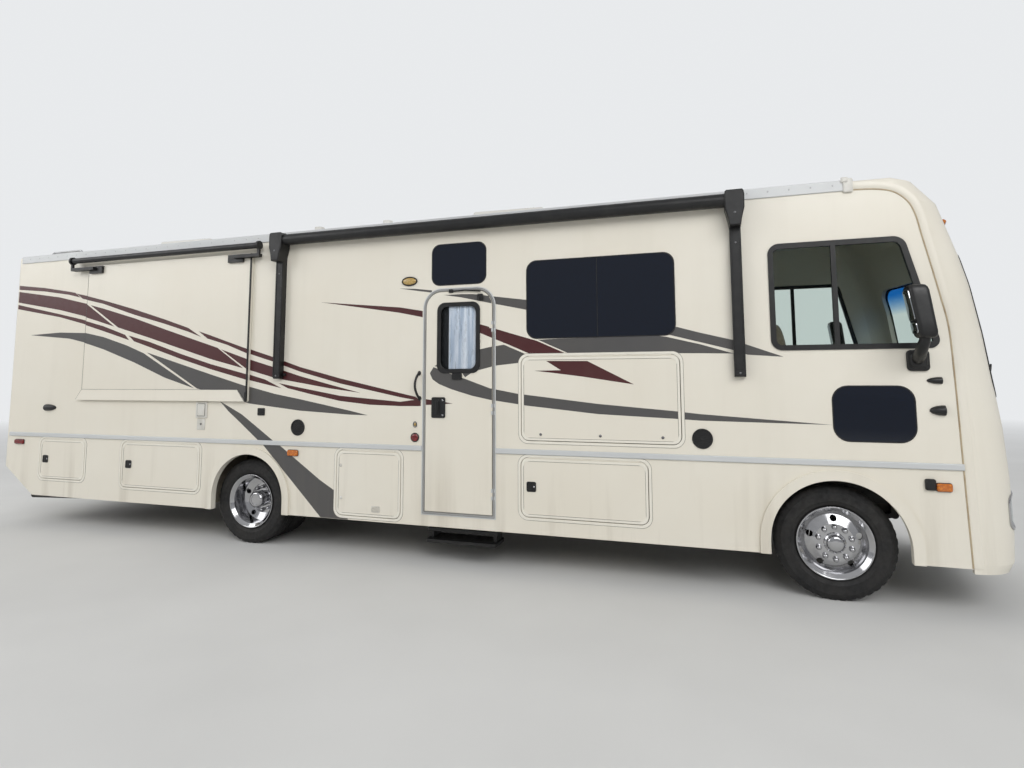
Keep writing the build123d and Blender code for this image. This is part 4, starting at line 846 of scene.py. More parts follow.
def make_doors():
    """Trims, paddle latches with round key plugs, locks and the vent of the storage and compartment doors."""
    doors = [(name, name, side, box) for name, (side, *box) in STORAGE_DOORS.items()]
    doors.append(("compartment", "compartment_door", RIGHT, COMPARTMENT))
    for word, body, side, (start, end, low, high) in doors:
        for ending, reach, top_reach, radius, width, inner, outer, edge, finish, on_door in DOOR_RINGS:
            outline = (start - reach, end + reach, low - reach, high + top_reach, radius, 8)
            build(f"{word}_{ending}", finish, [(ring, outline, width, inner, outer, edge, side)],
                  body if on_door else BODY, smooth=finish is TRIM_PAINT)
    for index, (body, side, x, z) in enumerate(LATCHES):
        build(f"{body}_latch_{index}", BLACK_PLASTIC, [
            (ring, square(x, z, 0.046, 0.016), 0.008, CLOSE, 0.007, 0.002, side),
            (slab, square(x, z, 0.040, 0.012), CLOSE, 0.0022, 0, side),
            (slab, (x - 0.030, x + 0.012, z - 0.030, z + 0.030, 0.010), 0.002, 0.0058, 0.0015, side),
        ], body)
        plug = (dome, x + 0.026, z, 0.0095, 0.0022, 0.004, 20, 1, side)
        build(f"{body}_latch_plug_{index}", CHROME, [plug], body)
    locks = [(dome, x, 1.272, 0.013, CLOSE, 0.008) for x in COMPARTMENT_LOCKS]
    build("compartment_locks", DARK_CHROME, locks, "compartment_door")
    slats = [0.464 + 0.0105 * index for index in range(4)]
    build("right_storage_door_3_vent", WHITE_PLASTIC, [
        (ring, DOOR_3_VENT, 0.008, CLOSE, 0.005),
        *((slab, (-4.212, -4.131, z, z + 0.005, 0.002), CLOSE, 0.0045) for z in slats),
        *((dome, x, z, 0.017, CLOSE, 0.008) for x, z in DOOR_3_LOCKS),
    ], "right_storage_door_3")


def entry_strip(mesh_data, first, last, outer):
    """Strip on the entry frame between two insets of its outline, which is square at its foot."""
    start, end, low, high, radius = ENTRY
    corners = ((start, low), (end, low), (end, high), (start, high))
    lines = [filleted(corners, (0.012, 0.012, radius, radius), by, 10) for by in (first, last)]
    inner = DOOR_STAND + CLOSE
    outer += DOOR_STAND
    stack(mesh_data, [[place(x, z, stand) for x, z in lines[which]]
                      for which, stand in ((0, inner), (0, outer), (1, outer), (1, inner))], loop=True)


def make_entry_window():
    """Frame, pane and silvered shade of the entry door's window, and a black sheet behind them that is
    painted shade inside the door.
    """
    start, end, low, high, radius = DOOR_WINDOW
    door = DOOR_STAND
    build("entry_door_window_frame", BLACK_PLASTIC, [
        (ring, (*inset(DOOR_WINDOW, -0.012), radius + 0.012, 8), 0.042, door + CLOSE, door + 0.012, 0.004),
    ], ENTRY_DOOR, stands_for="entry_door_window")
    build("entry_door_pane", SHADE_GLASS, [
        (slab, (*inset(DOOR_WINDOW, 0.0005), radius, 8), door - 0.008, door - 0.001),
    ], ENTRY_DOOR, stands_for="entry_door_window")
    shade_start, shade_width = start + 0.105, end - start - 0.125
    rows = []
    for index in range(SHADE_FOLDS + 1):
        x = shade_start + shade_width * index / SHADE_FOLDS
        push = door + (0.0035 if index % 2 else 0.0)
        rows.append([place(x, z, push - depth) for z, depth in (
            (low + 0.012, 0.020), (high - 0.012, 0.020), (high - 0.012, 0.024), (low + 0.012, 0.024))])
    build("entry_door_shade", SHADE, [(stack, rows)], ENTRY_DOOR, smooth=False)
    # Black sheet: painted shade seen through the pane beside the blind
    build("entry_door_window_shadow_back", BLACK_PLASTIC, [
        (slab, (*inset(DOOR_WINDOW, 0.004), radius - 0.004), door - 0.036, door - 0.030),
    ], ENTRY_DOOR)


def make_entry_fittings():
    """Frame bead with painted groove shadows, latch, stay, grab handle, bell and lamp round the entry door.
    """
    door = DOOR_STAND
    build("entry_frame_bead", ALUMINIUM, [(entry_strip, 0.0145, 0.0235, 0.0035)], angle=30)
    # Grey strips either side of the bead: painted shadow in the frame's gaps
    build("entry_frame_groove_shadows", SHADOW_SEALANT_LINE, [(entry_strip, 0.0100, 0.0140, 0.0010),
                                             (entry_strip, 0.0265, 0.0315, 0.0012)], smooth=False)
    build("entry_door_black_fittings", BLACK_PLASTIC, [
        (slab, (-3.336, -3.233, 1.786, 1.848, 0.012), door + CLEAR, door + 0.020, 0.004),
        (slab, (-3.556, -3.408, 1.409, 1.612, 0.018), door + CLEAR, door + 0.012, 0.003),
        (slab, (-3.545, -3.470, 1.430, 1.592, 0.014), door + 0.011, door + 0.020, 0.004),
        (slab, (-3.505, -3.478, 1.445, 1.577, 0.010), door + 0.019, door + 0.032, 0.004),
    ], ENTRY_DOOR)
    build("entry_door_screws", CHROME, [(dome, -3.434, z, 0.0085, door + 0.0118, 0.003, 16)
                                        for z in (1.436, 1.583)], ENTRY_DOOR)
    stay = [place(-3.355, 2.662, 0.020), place(-3.20, 2.667, 0.026), place(-3.035, 2.652, 0.024)]
    build("entry_stay_bar", BLACK_PLASTIC, [
        (tube, stay, 0.008, 10),
        (slab, (-3.375, -3.330, 2.648, 2.682, 0.006), 0.0075, 0.024, 0.003),
    ])
    hook = [place(-3.052, 2.600, 0.020), place(-3.050, 2.585, 0.036), place(-3.050, 2.565, 0.038)]
    build("entry_door_stay_hook", BLACK_PLASTIC, [
        (slab, (-3.070, -3.010, 2.560, 2.625, 0.010), door + CLEAR, door + 0.018, 0.003),
        (tube, hook, 0.005, 8),
    ], ENTRY_DOOR)
    grab = []
    for index in range(13):
        share = index / 12
        bow = math.sin(math.pi * share)
        stand = 0.012 + 0.050 * bow ** 0.6
        grab.append(place(-3.690 - 0.022 * bow - 0.010 * share, 1.600 + 0.248 * share, stand))
    build("entry_grab_handle", BLACK_PLASTIC, [
        (tube, grab, 0.012),
        *((dome, x, z, 0.019, CLEAR, 0.016, 20, 1.3) for x, z in ((-3.692, 1.598), (-3.700, 1.850))),
    ])
    build("entry_bell_ring", DARK_CHROME, [
        (ring, oval(*BELL, 0.022, 0.030), 0.007, CLEAR, 0.008, 0.002),
    ])
    build("entry_bell_button", PORCH, [(dome, *BELL, 0.013, CLEAR, 0.009, 20, 1.3)])
    build("entry_round_lamp", RED, [(dome, *ROUND_LAMP, 0.040, 0.004, 0.014, 32)])
    build("entry_round_lamp_ring", BLACK_PLASTIC, [
        (ring, oval(*ROUND_LAMP, 0.046, 0.046), 0.010, CLEAR, 0.009, 0.002),
    ])


# Fittings of the side walls

PORCH_LAMP = (-3.820, 2.790)
SPEAKERS = ((-5.133, 1.280), (-0.999, 1.272))
BULLET_LAMPS = (
    (0.735, 1.766, 0.100, 0.055, -1), (0.742, 1.535, 0.102, 0.080, -1), (-8.845, 1.450, 0.168, 0.084, 1),
)


def speaker(x, z):
    """Steps of a round speaker with seven bars."""
    steps = [(ring, oval(x, z, 0.086, 0.086, 48), 0.016, CLEAR, 0.010, 0.003),
             (slab, oval(x, z, 0.072, 0.072, 48), CLEAR, 0.004)]
    for index in range(-3, 4):
        half = 0.064 * math.sqrt(1 - (index / 3.6) ** 2)
        level = z + 0.018 * index
        bar = (x - half, x + half, level - 0.004, level + 0.004, 0.003)
        steps.append((slab, bar, 0.0035, 0.0075, 0.001))
    return [*steps, (slab, oval(x, z, 0.018, 0.018, 24), 0.003, 0.011, 0.003)]


def bullet_lamp(mesh_data, x, z, length, height, way, side):
    """Half-round lamp that tapers the given way along the side."""
    rings = []
    for part in range(9):
        share = part / 8
        reach = height / 2 * math.sqrt(1 - (share * 0.98) ** 2)
        station = x + way * length * (share - 0.5)
        angles = [math.pi * index / 15 for index in range(16)]
        rings.append([place(station, z + reach * math.cos(a), CLEAR + 1.1 * reach * math.sin(a), side)
                      for a in angles])
    stack(mesh_data, rings)


def make_side_fittings():
    """Speakers, vent, outlet, porch lamp and bullet lamps."""
    slats = [1.416 + 0.018 * index for index in range(3)]
    build("side_speakers", BLACK_PLASTIC, [
        *(step for spot in SPEAKERS for step in speaker(*spot)),
        (slab, (-5.663, -5.568, 1.400, 1.480, 0.008), CLEAR, 0.010, 0.003),
        *((slab, (-5.652, -5.579, z, z + 0.009, 0.003), 0.0095, 0.013, 0.001) for z in slats),
    ])
    build("side_outlet_cover", WHITE_PLASTIC, [
        (slab, (-6.520, -6.360, 1.360, 1.540, 0.010), CLEAR, 0.012, 0.003),
        (slab, (-6.492, -6.388, 1.384, 1.518, 0.010), 0.0115, 0.020, 0.004),
        (slab, (-6.500, -6.386, 1.226, 1.352, 0.008), CLEAR, 0.006, 0.002),
    ])
    build("side_outlet_plug", GREY_PLASTIC, [
        (dome, -6.443, 1.292, 0.014, 0.0055, 0.006),
        (ring, (-6.497, -6.383, 1.379, 1.523, 0.012), 0.004, 0.0118, 0.0150, 0.001),
    ])
    x, z = PORCH_LAMP
    rim = (ring, oval(x, z, 0.088, 0.048, 40), 0.012, CLEAR, 0.014, 0.003)
    build("porch_lamp_rim_right", BLACK_PLASTIC, [rim])
    build("porch_lamp_lens_right", PORCH, [(dome, x, z, 0.077, 0.006, 0.016, 40, 0.038 / 0.077)])
    for side, word in SIDES:
        build(f"bullet_lamps_{word}", BLACK_PLASTIC, [(bullet_lamp, *lamp, side) for lamp in BULLET_LAMPS])


# Mirrors: shell levels as height and share of the full size, arm points as station, height, stand and radius

MIRROR_LEVELS = (
    (2.083, 0.62), (2.088, 0.80), (2.102, 0.93), (2.130, 1.0), (2.210, 1.0), (2.300, 1.0), (2.390, 1.0),
    (2.440, 0.99), (2.466, 0.92), (2.480, 0.78), (2.485, 0.60),
)
MIRROR_ARM = ((0.618, 2.110, 0.272, 0.034), (0.612, 2.060, 0.262, 0.038), (0.606, 2.020, 0.225, 0.041),
              (0.612, 1.975, 0.150, 0.042), (0.622, 1.945, 0.080, 0.042), (0.628, 1.930, 0.015, 0.044))
MIRROR_PANES = ((2.215, 2.448), (2.118, 2.200))
MIRROR_HALF_WIDTH = 0.086
MIRROR_CORNER = 0.034


def mirror_middle(z):
    """Station, stand and half depth of the leaning shell at a height."""
    low, high = MIRROR_LEVELS[0][0], MIRROR_LEVELS[-1][0]
    share = (z - low) / (high - low)
    return 0.622 - 0.050 * share, 0.276 - 0.020 * share, 0.064 + 0.008 * share


def make_mirrors():
    """Rear-view mirrors: leaning shell, two glasses, thick arm and foot."""
    for side, word in SIDES:
        shell_rings, panes = [], []
        for z, size in MIRROR_LEVELS:
            x, stand, half = mirror_middle(z)
            half, wide = half * size, MIRROR_HALF_WIDTH * size
            outline = rounded(x - half, x + half, stand - wide, stand + wide, MIRROR_CORNER * size, 6)
            shell_rings.append([place(px, z, ps, side) for px, ps in outline])
        for low, high in MIRROR_PANES:
            rings = []
            for push, by in ((0.004, 0.0), (-0.0015, 0.0), (-0.003, 0.002)):
                points = []
                for s, z in rounded(*inset((-0.066, 0.066, low, high), by), 0.020, 6):
                    x, stand, half = mirror_middle(z)
                    points.append(place(x - half + push, z, stand + s, side))
                rings.append(points)
            panes.append((stack, rings))
        arm = [place(*spot, side) for *spot, _ in MIRROR_ARM]
        build(f"mirror_shell_{word}", BLACK_PLASTIC, [
            (stack, shell_rings),
            (tube, arm, [radius for *_, radius in MIRROR_ARM], 20),
            (slab, (0.555, 0.711, 1.840, 2.007, 0.034, 8), CLEAR, 0.024, 0.008, side),
            (slab, (0.572, 0.692, 1.862, 1.990, 0.034, 8), 0.020, 0.044, 0.012, side),
        ], stands_for="mirrors", angle=50)
        build(f"mirror_glass_{word}", MIRROR, panes, stands_for="mirrors")


# Awning arms

AWNING_ARMS = (-5.431, -0.723)
ARM_WIDTH = 0.092
ARM_DEPTH = 0.068
ARM_LOW = 1.800
ARM_HEAD = ((0, 3.080), (0.012, 3.150), (0.033, 3.235), (0.035, 3.350), (0.030, 3.380), (0.018, 3.393))


def make_awning_details():
    """Funnel-shaped heads, channel lips, screws and end plugs of the awning's arms."""
    black, screws = [], []
    for first in AWNING_ARMS:
        last = first + ARM_WIDTH
        outline = [(first, 3.080)] + [(last + out, z) for out, z in ARM_HEAD]
        outline += [(first - out, z) for out, z in reversed(ARM_HEAD[1:])]
        black.append((slab, outline, 0.008, 0.1625, 0.010))
        for x in (first + 0.006, last - 0.016):
            lip = (x, x + 0.010, ARM_LOW + 0.035, 3.085, 0.003)
            black.append((slab, lip, ARM_DEPTH + CLOSE, ARM_DEPTH + 0.005, 0.002))
        plug = (first + 0.004, last - 0.004, ARM_LOW + 0.006, ARM_LOW + 0.060, 0.020)
        black.append((slab, plug, ARM_DEPTH - 0.010, ARM_DEPTH + 0.006, 0.004))
        for z, radius, stand in ((1.832, 0.010, ARM_DEPTH + 0.0055), (2.950, 0.009, ARM_DEPTH + CLOSE),
                                 (3.190, 0.011, 0.1622)):
            screws.append((dome, (first + last) / 2, z, radius, stand, 0.005, 16))
    black.append((dome, AWNING_ARMS[0] + ARM_WIDTH + 0.020, 1.845, 0.016, CLEAR, 0.030))
    build("awning_arm_heads", BLACK_PLASTIC, black)
    build("awning_arm_screws", DARK_CHROME, screws)


def make_rail_pieces():
    """Joint covers at the front ends of the eaves rails, and the rails' screws."""
    covers = (((0.175, 0.250, 3.318, 3.437, 0.014), CLEAR, 0.022, 0.006),
              ((0.160, 0.215, 3.400, 3.446, 0.010), CLEAR, 0.030, 0.008))
    build("roof_edge_pieces", WHITE_PLASTIC, [(slab, *cover, side) for side, _ in SIDES for cover in covers],
          slot="roof_skin", angle=40)
    stations = [-9.40 + 9.50 * index / 57 for index in range(58)]
    build("roof_rail_screws", ALUMINIUM, [(dome, x, 3.385, 0.0075, 0.0115, 0.003, 10, 1, side)
                                          for side, _ in SIDES for x in stations])


# Rear face: places are Y and height

CAMERA_LEVELS = ((0.010, 3.098, 3.186), (0.050, 3.104, 3.184), (0.078, 3.116, 3.176), (0.086, 3.126, 3.168))
REAR_MARKS = (-0.6, -0.3, 0.0, 0.3, 0.6)
SCREW = ((0.006, 0), (0.006, 0.002), (0.003, 0.004), (0, 0.004))
SMALL_SCREW = ((0.004, 0), (0.003, 0.002), (0, 0.0025))
CAMERA_EYE = ((0.030, 0.0), (0.030, 0.014), (0.022, 0.018), (0, 0.018))


def make_rear_fittings():
    """Blank plate on its bracket with a lamp, and camera housing."""
    camera = [[place(y, z, reach, REAR) for y, z in rounded(-0.062, 0.062, low, high, 0.020)]
              for reach, low, high in CAMERA_LEVELS]
    plate_screws = [place(y, z, 0.0148, REAR) for y in (-0.125, 0.125) for z in (1.138, 1.264)]
    lamp_screws = [place(side * 1.1965, z, 0.0118, REAR) for side, _ in SIDES for z in (1.262, 1.838)]
    build("rear_black_fittings", BLACK_PLASTIC, [
        (slab, (-0.175, 0.175, 1.110, 1.300, 0.020), CLEAR, 0.012, 0.003, REAR),
        (slab, (-0.050, 0.050, 1.302, 1.336, 0.012), CLEAR, 0.040, 0.006, REAR),
        (slab, (-0.085, 0.085, 3.085, 3.195, 0.030), CLEAR, 0.014, 0.004, REAR),
        (stack, camera),
        (lathe, place(0, 3.142, 0.080, REAR), (-1, 0, -0.15), CAMERA_EYE, 24),
    ])
    build("rear_blank_plate", WHITE_PLASTIC, [
        (slab, (-0.152, 0.152, 1.125, 1.277, 0.010), 0.0115, 0.0150, 0.001, REAR),
    ])
    build("rear_screws", CHROME, [*((lathe, spot, (-1, 0, 0), SCREW, 12) for spot in plate_screws),
                                  *((lathe, spot, (-1, 0, 0), SMALL_SCREW, 10) for spot in lamp_screws)])


def make_marker_lamps():
    """Amber, red and clear lenses with their bases, which stand for the plain lamp solids."""
    amber, red, clear, base = [], [], [], []
    for side, _ in SIDES:
        for steps, *box in ((amber, 0.700, 0.804, 0.922, 0.982), (amber, -5.248, -5.119, 0.980, 1.040),
                            (red, -9.442, -9.286, 0.984, 1.040)):
            base.append((slab, (*inset(box, -0.004), 0.018, 6), CLEAR, 0.006, 0, side))
            steps.append((slab, (*box, 0.014, 6), 0.0055, 0.026, 0.008, side))
        base.append((slab, (0.626, 0.697, 0.927, 1.013, 0.014, 6), CLEAR, 0.030, 0.010, side))
        start, end = sorted((side * 1.010, side * 1.190))
        base.append((slab, (start - 0.010, end + 0.010, 1.240, 1.860, 0.036), CLEAR, 0.012, 0.004, REAR))
        red.append((slab, (start, end, 1.480, 1.850, 0.030), 0.010, 0.030, 0.008, REAR))
        amber.append((slab, (start, end, 1.372, 1.472, 0.020), 0.010, 0.028, 0.008, REAR))
        clear.append((slab, (start, end, 1.252, 1.364, 0.020), 0.010, 0.028, 0.008, REAR))
    for y in REAR_MARKS:
        red.append((slab, (y - 0.060, y + 0.060, 3.290, 3.330, 0.014), CLEAR, 0.024, 0.006, REAR))
    build("amber_lenses", AMBER, amber, stands_for="lamps")
    build("red_lenses", RED, red, stands_for="lamps")
    build("clear_rear_lenses", CLEAR_LENS, clear, stands_for="lamps")
    build("lamp_bases", BLACK_PLASTIC, base, stands_for="lamps")


# Cap seam: its line on the side, and its strips as inner and outer reach and stand

SEAM = (
    (0.911, 0.365), (0.899, 0.857), (0.893, 1.140), (0.877, 1.845), (0.862, 2.180), (0.826, 2.400),
    (0.770, 2.690), (0.722, 2.927), (0.690, 3.090), (0.640, 3.210), (0.540, 3.300), (0.400, 3.335),
    (0.215, 3.345),
)
SEAM_STRIPS = (("lip", -0.002, 0.062, 0.006, BODY_PAINT), ("sealant", -0.012, 0.000, 0.004, SEALANT))


def flowing(points, parts=6):
    """Points of a smooth line that runs through the given ones."""
    line = []
    last = len(points) - 1
    for index in range(last):
        a, b, c, d = (Vector(points[min(max(index + k, 0), last)]) for k in (-1, 0, 1, 2))
        for step in range(parts):
            t = step / parts
            line.append(0.5 * (2 * b + (c - a) * t + (2 * a - 5 * b + 4 * c - d) * t ** 2
                               + (3 * b - a - 3 * c + d) * t ** 3))
    return [*line, Vector(points[-1])]


def make_cap_seam():
    """Raised lip of the cap over the side wall, with its line of sealant."""
    seam = flowing(SEAM)
    for side, word in SIDES:
        for name, inner, outer, stand, finish in SEAM_STRIPS:
            rings = []
            for index, spot in enumerate(seam):
                run = (seam[min(index + 1, len(seam) - 1)] - seam[max(index - 1, 0)]).normalized()
                out = Vector((run.y, -run.x))
                first, last = spot + out * inner, spot + out * outer
                edge = 0.85 * first + 0.15 * last
                middle = 0.8 * last + 0.2 * first
                rings.append([place(point.x, point.y, level, side) for point, level in (
                    (first, 0.0003), (edge, stand), (middle, stand), (last, 0.0003))])
            build(f"cap_seam_{name}_{word}", finish, [(stack, rings)])


# Windows: panes stand where the plain ones are

CAB_WINDOW = ((-0.417, 2.025), (0.800, 2.025), (0.585, 2.920), (-0.417, 2.920))
CAB_RADII = (0.085, 0.060, 0.095, 0.085)
CAB_FRAME = 0.038
REAR_WINDOW = (-0.600, 0.600, 2.250, 2.800, 0.090)
PANE_DEPTH = 0.008
PANE_STAND = 0.002


def make_windows():
    """Panes of the fixed windows with their gaskets, in place of the plain ones."""
    panes, gaskets = [], []
    for window in (MAIN_WINDOW, TRANSOM, LOWER_WINDOW, BEDROOM_WINDOW):
        side = LEFT if window is BEDROOM_WINDOW else RIGHT
        outline = rounded(*window, 8)
        panes.append((slab, shrunk(outline, 0.0005), -PANE_DEPTH, PANE_STAND, 0.001, side))
        gaskets.append((ring, shrunk(outline, -0.003), 0.009, CLOSE, 0.0035, 0.001, side))
    _, _, low, high, _ = MAIN_WINDOW
    gaskets.append((slab, (-1.893, -1.887, low + 0.01, high - 0.01, 0.002), 0.0018, 0.0030))
    panes.append((slab, shrunk(rounded(*REAR_WINDOW, 8), 0.0005), -PANE_DEPTH, PANE_STAND, 0, REAR))
    cab_pane = filleted(CAB_WINDOW, CAB_RADII, CAB_FRAME)
    build("fixed_panes", DARK_GLASS, panes, stands_for="window_glass")
    build("cab_panes", CLEAR_GLASS, [(slab, cab_pane, -0.018, -0.010, 0, side) for side, _ in SIDES],
          stands_for="window_glass")
    build("window_gaskets", BLACK_PLASTIC, gaskets)


# Slide-outs: the flange is the bedroom slide-out's bevelled lower edge

FLANGE_TOP = 1.680
FLANGE_BOTTOM = 1.552


def make_slide_details():
    """Lower flange, seams and seals of the slide-outs."""
    start, end, low, high = BEDROOM_SLIDE
    stand = SLIDE_STAND
    top, bottom = FLANGE_TOP, FLANGE_BOTTOM
    back = [(start, bottom), (end - 0.030, bottom), (end - 0.140, top), (start + 0.007, top)]
    front = [(start - 0.083, bottom), *back[1:]]
    rings = [[place(x, z, stand + CLOSE) for x, z in back],
             [place(x, z, stand + (0.014 if z == bottom else 0.003)) for x, z in front]]
    build("bedroom_slide_lower_flange", BODY_PAINT, [(stack, rings)], "bedroom_slide", smooth=False)
    upright = [place(start + 0.004, z, stand) for z in (bottom + 0.13, high - 0.002)]
    bead = [place(x, z, stand + out) for x, z, out in (
        (start - 0.078, bottom + 0.002, 0.013), (start + 0.006, top, 0.003), (end - 0.142, top, 0.003),
        (end - 0.034, bottom + 0.006, 0.013))]
    seams = [(tube, upright, 0.0022, 6), (tube, bead, 0.0018, 6)]
    build("bedroom_slide_seams", GREY_PLASTIC, seams, "bedroom_slide")
    build("bedroom_slide_seal", BLACK_PLASTIC, [
        (slab, (end - 0.020, end - 0.001, 1.575, high - 0.004, 0.006), stand + CLOSE, stand + 0.014, 0.004),
        (slab, (end - 0.030, end - 0.001, 1.553, 1.655, 0.006), stand + CLOSE, stand + 0.020, 0.004),
    ], "bedroom_slide")
    start, end, low, high = GALLEY_SLIDE
    build("galley_slide_seals", BLACK_PLASTIC, [
        (slab, (x, x + 0.019, low + 0.02, high - 0.004, 0.006), stand + CLOSE, stand + 0.010, 0.003, LEFT)
        for x in (start + 0.001, end - 0.020)
    ], "galley_slide")


# Front cap: how far its face lies behind its nose at each height, and its bow and corner radii

NOSE = 1.440
RAKE = (
    (0.325, 0.048), (0.395, 0.012), (0.600, 0.0), (1.020, 0.004), (1.400, 0.024), (1.775, 0.068),
    (2.140, 0.112), (2.525, 0.174), (2.770, 0.233), (3.205, 0.361), (3.400, 0.520), (3.505, 0.850),
)
BOW = 3.2
CAP_CORNER = 0.3
SHIELD = ((-1.120, 1.640), (1.120, 1.640), (1.080, 2.790), (-1.080, 2.790))
BEZEL = (0.696, 1.184, 0.636, 0.904)
CAP_MARKS = (-0.880, -0.220, 0.0, 0.220, 0.880)
BULB = ((0.012, 0.002), (0.012, 0.040), (0.009, 0.050), (0, 0.054))
TURN_LAMP = ((0, 0), (0.040, 0.004), (0.042, 0.030), (0.030, 0.040), (0, 0.043))
BOWL_RADIUS = 0.078
BOWL = ((0, 0), (0.02, 0.002), (BOWL_RADIUS * 0.7, 0.030), (BOWL_RADIUS, 0.085), (BOWL_RADIUS + 0.004, 0.086),
        (BOWL_RADIUS * 0.74, 0.024), (0.02, -0.006), (0, -0.006))
WIPER_PIVOT = ((0.030, 0.0), (0.028, 0.014), (0.018, 0.020), (0, 0.022))
ARM_RADII = [0.016, 0.014, 0.011, 0.010, 0.009, 0.008, 0.008, 0.007, 0.007, 0.006]


def cap_face(y, z):
    """Point on the front cap's face."""
    for (low, low_back), (high, high_back) in zip(RAKE, RAKE[1:]):
        if z <= high:
            back = low_back + (z - low) / (high - low) * (high_back - low_back)
            break
    side = HALF_WIDTH + 0.001
    reach = (side - CAP_CORNER) / (BOW - CAP_CORNER)
    centre = NOSE - back - BOW
    if abs(y) <= BOW * reach:
        x = centre + math.sqrt(BOW ** 2 - y ** 2)
    else:
        x = centre + (BOW - CAP_CORNER) * math.sqrt(1 - reach ** 2)
        x += math.sqrt(max(CAP_CORNER ** 2 - (abs(y) - side + CAP_CORNER) ** 2, 0))
    return Vector((x + FRONT_AXLE, y, z))


def cap_point(y, z, stand):
    """Point a distance out from the front cap's face."""
    step = 0.004
    across = cap_face(y + step, z) - cap_face(y - step, z)
    up = cap_face(y, z + step) - cap_face(y, z - step)
    return cap_face(y, z) + across.cross(up).normalized() * stand


def wiper(side):
    """Steps of one wiper: arm, blade and pivot."""
    foot = side * 0.30 - 0.05
    sweep = side * 0.62
    arm = [cap_point(foot, 1.585, 0.010), cap_point(foot, 1.590, 0.045)]
    arm += [cap_point(foot + sweep * i / 16, 1.600 + 0.19 * i / 8, 0.045 - 0.002 * i) for i in range(1, 9)]
    blade = [cap_point(foot + sweep * (0.02 + 0.98 * i / 12), 1.690 + 0.20 * i / 12, 0.016)
             for i in range(13)]
    return [(tube, arm, ARM_RADII, 10), (tube, blade, 0.007, 8),
            (lathe, cap_point(foot, 1.585, 0.0), (1, 0, 0.1), WIPER_PIVOT, 20)]


def make_front_details():
    """Windshield gasket, wipers, headlamp bezels, bowls and bulbs, and marker lamps."""
    outline = fine(filleted(SHIELD, (0.130, 0.130, 0.120, 0.120), -0.010, 8))
    build("windshield_gasket", BLACK_PLASTIC, [(ring, outline, 0.026, CLEAR, 0.006, 0.002, CAP)])
    build("wipers", BLACK_PLASTIC, wiper(RIGHT) + wiper(LEFT))
    bowls, bulbs, bezels, turn_lamps = [], [], [], []
    start, end, low, high = BEZEL
    for side, _ in SIDES:
        edges = sorted((side * start, side * end))
        bezels.append((ring, fine(rounded(*edges, low, high, 0.064, 8)), 0.018, CLEAR, 0.010, 0.003, CAP))
        for y in (0.800, 0.965):
            centre = cap_face(side * y, 0.770) - Vector((0.150, 0, 0))
            bowls.append((lathe, centre, (1, 0, 0), BOWL, 40))
            bulbs.append((lathe, centre, (1, 0, 0), BULB, 16))
        for z in (0.720, 0.820):
            centre = cap_face(side * 1.080, z) - Vector((0.115, 0, 0))
            turn_lamps.append((lathe, centre, (1, side * 0.5, 0), TURN_LAMP, 24))
    build("headlamp_bezels", CHROME, bezels)
    build("headlamp_bowls", CHROME, bowls)
    build("headlamp_bulbs", CLEAR_LENS, bulbs)
    build("front_turn_lamps", AMBER, turn_lamps)
    build("cap_marker_bases", BLACK_PLASTIC, [
        (slab, (y - 0.062, y + 0.062, 3.070, 3.118, 0.020), CLEAR, 0.008, 0.003, CAP) for y in CAP_MARKS])
    build("cap_marker_lenses", AMBER, [
        (slab, (y - 0.055, y + 0.055, 3.075, 3.113, 0.017), 0.0075, 0.030, 0.012, CAP) for y in CAP_MARKS])


# Cab seats: pedestal levels as half width and height

SEAT_STATION = -0.030
SEAT_SPREAD = 0.700
SEAT_LEAN = math.radians(-9)
PEDESTAL = ((0.20, 1.126), (0.19, 1.155), (0.13, 1.175), (0.13, 1.38), (0.21, 1.40), (0.21, 1.428))


def make_cab():
    """Captain's chairs, seen through the cab's windows."""
    x = FRONT_AXLE + SEAT_STATION
    pedestals = []
    for side, word in SIDES:
        y = side * SEAT_SPREAD
        arms = [(pad, (x - 0.070, y + out, 1.700), (0.340, 0.052, 0.070), 0, 0.5, 0, 16, 16)
                for out in (-0.278, 0.278)]
        for name, fill, steps in (
            ("cushion", 0.8, [(pad, (x, y, 1.500), (0.530, 0.530, 0.150), 0.0, 0.45, 0.15)]),
            ("back", 0.8, [(pad, (x - 0.275, y, 1.900), (0.150, 0.500, 0.760), SEAT_LEAN)]),
            ("headrest", 0.8, [(pad, (x - 0.352, y, 2.255), (0.110, 0.300, 0.160), SEAT_LEAN, 0.5)]),
            ("armrests", 0.9, arms),
        ):
            piece = build(f"cab_seat_{name}_{word}", FABRIC, steps, stands_for="cab_seats", angle=60)
        levels = [[(x + sx * half, y + sy * half, z) for sx, sy in SQUARE] for half, z in PEDESTAL]
        pedestals.append((stack, levels))
    build("cab_seat_pedestals", BLACK_PLASTIC, pedestals, stands_for="cab_seats", smooth=False)


# Roof: stations of the cooling units, and stations and Y of the vents

COOLING_UNITS = (-7.900, -3.100)
ROOF_VENTS = ((-6.500, 0.150), (-4.700, -0.250), (-1.300, 0.200))
LOUVRE_HEIGHT = 3.7632


def make_roof_details():
    """Louvres of the cooling units and lids of the roof vents."""
    louvres = []
    for station in COOLING_UNITS:
        for sign in (-1, 1):
            for index in range(7):
                x = station + FRONT_AXLE + sign * (0.10 + 0.034 * index)
                louvres += [(tube, [(x, y - 0.09, LOUVRE_HEIGHT), (x, y + 0.09, LOUVRE_HEIGHT)], 0.006, 6)
                            for y in (-0.13, 0.13)]
    build("roof_unit_louvres", GREY_PLASTIC, louvres)
    build("roof_vent_lids", WHITE_PLASTIC, [
        (pad, (station + FRONT_AXLE, y, 3.582), (0.425, 0.425, 0.045), 0, 0.35, 0.25, 16, 24)
        for station, y in ROOF_VENTS
    ], slot="roof_skin")


# Stage, light and camera

FLOOR_REACH = 60
FADE_START = 11.0
FADE_END = 30.0


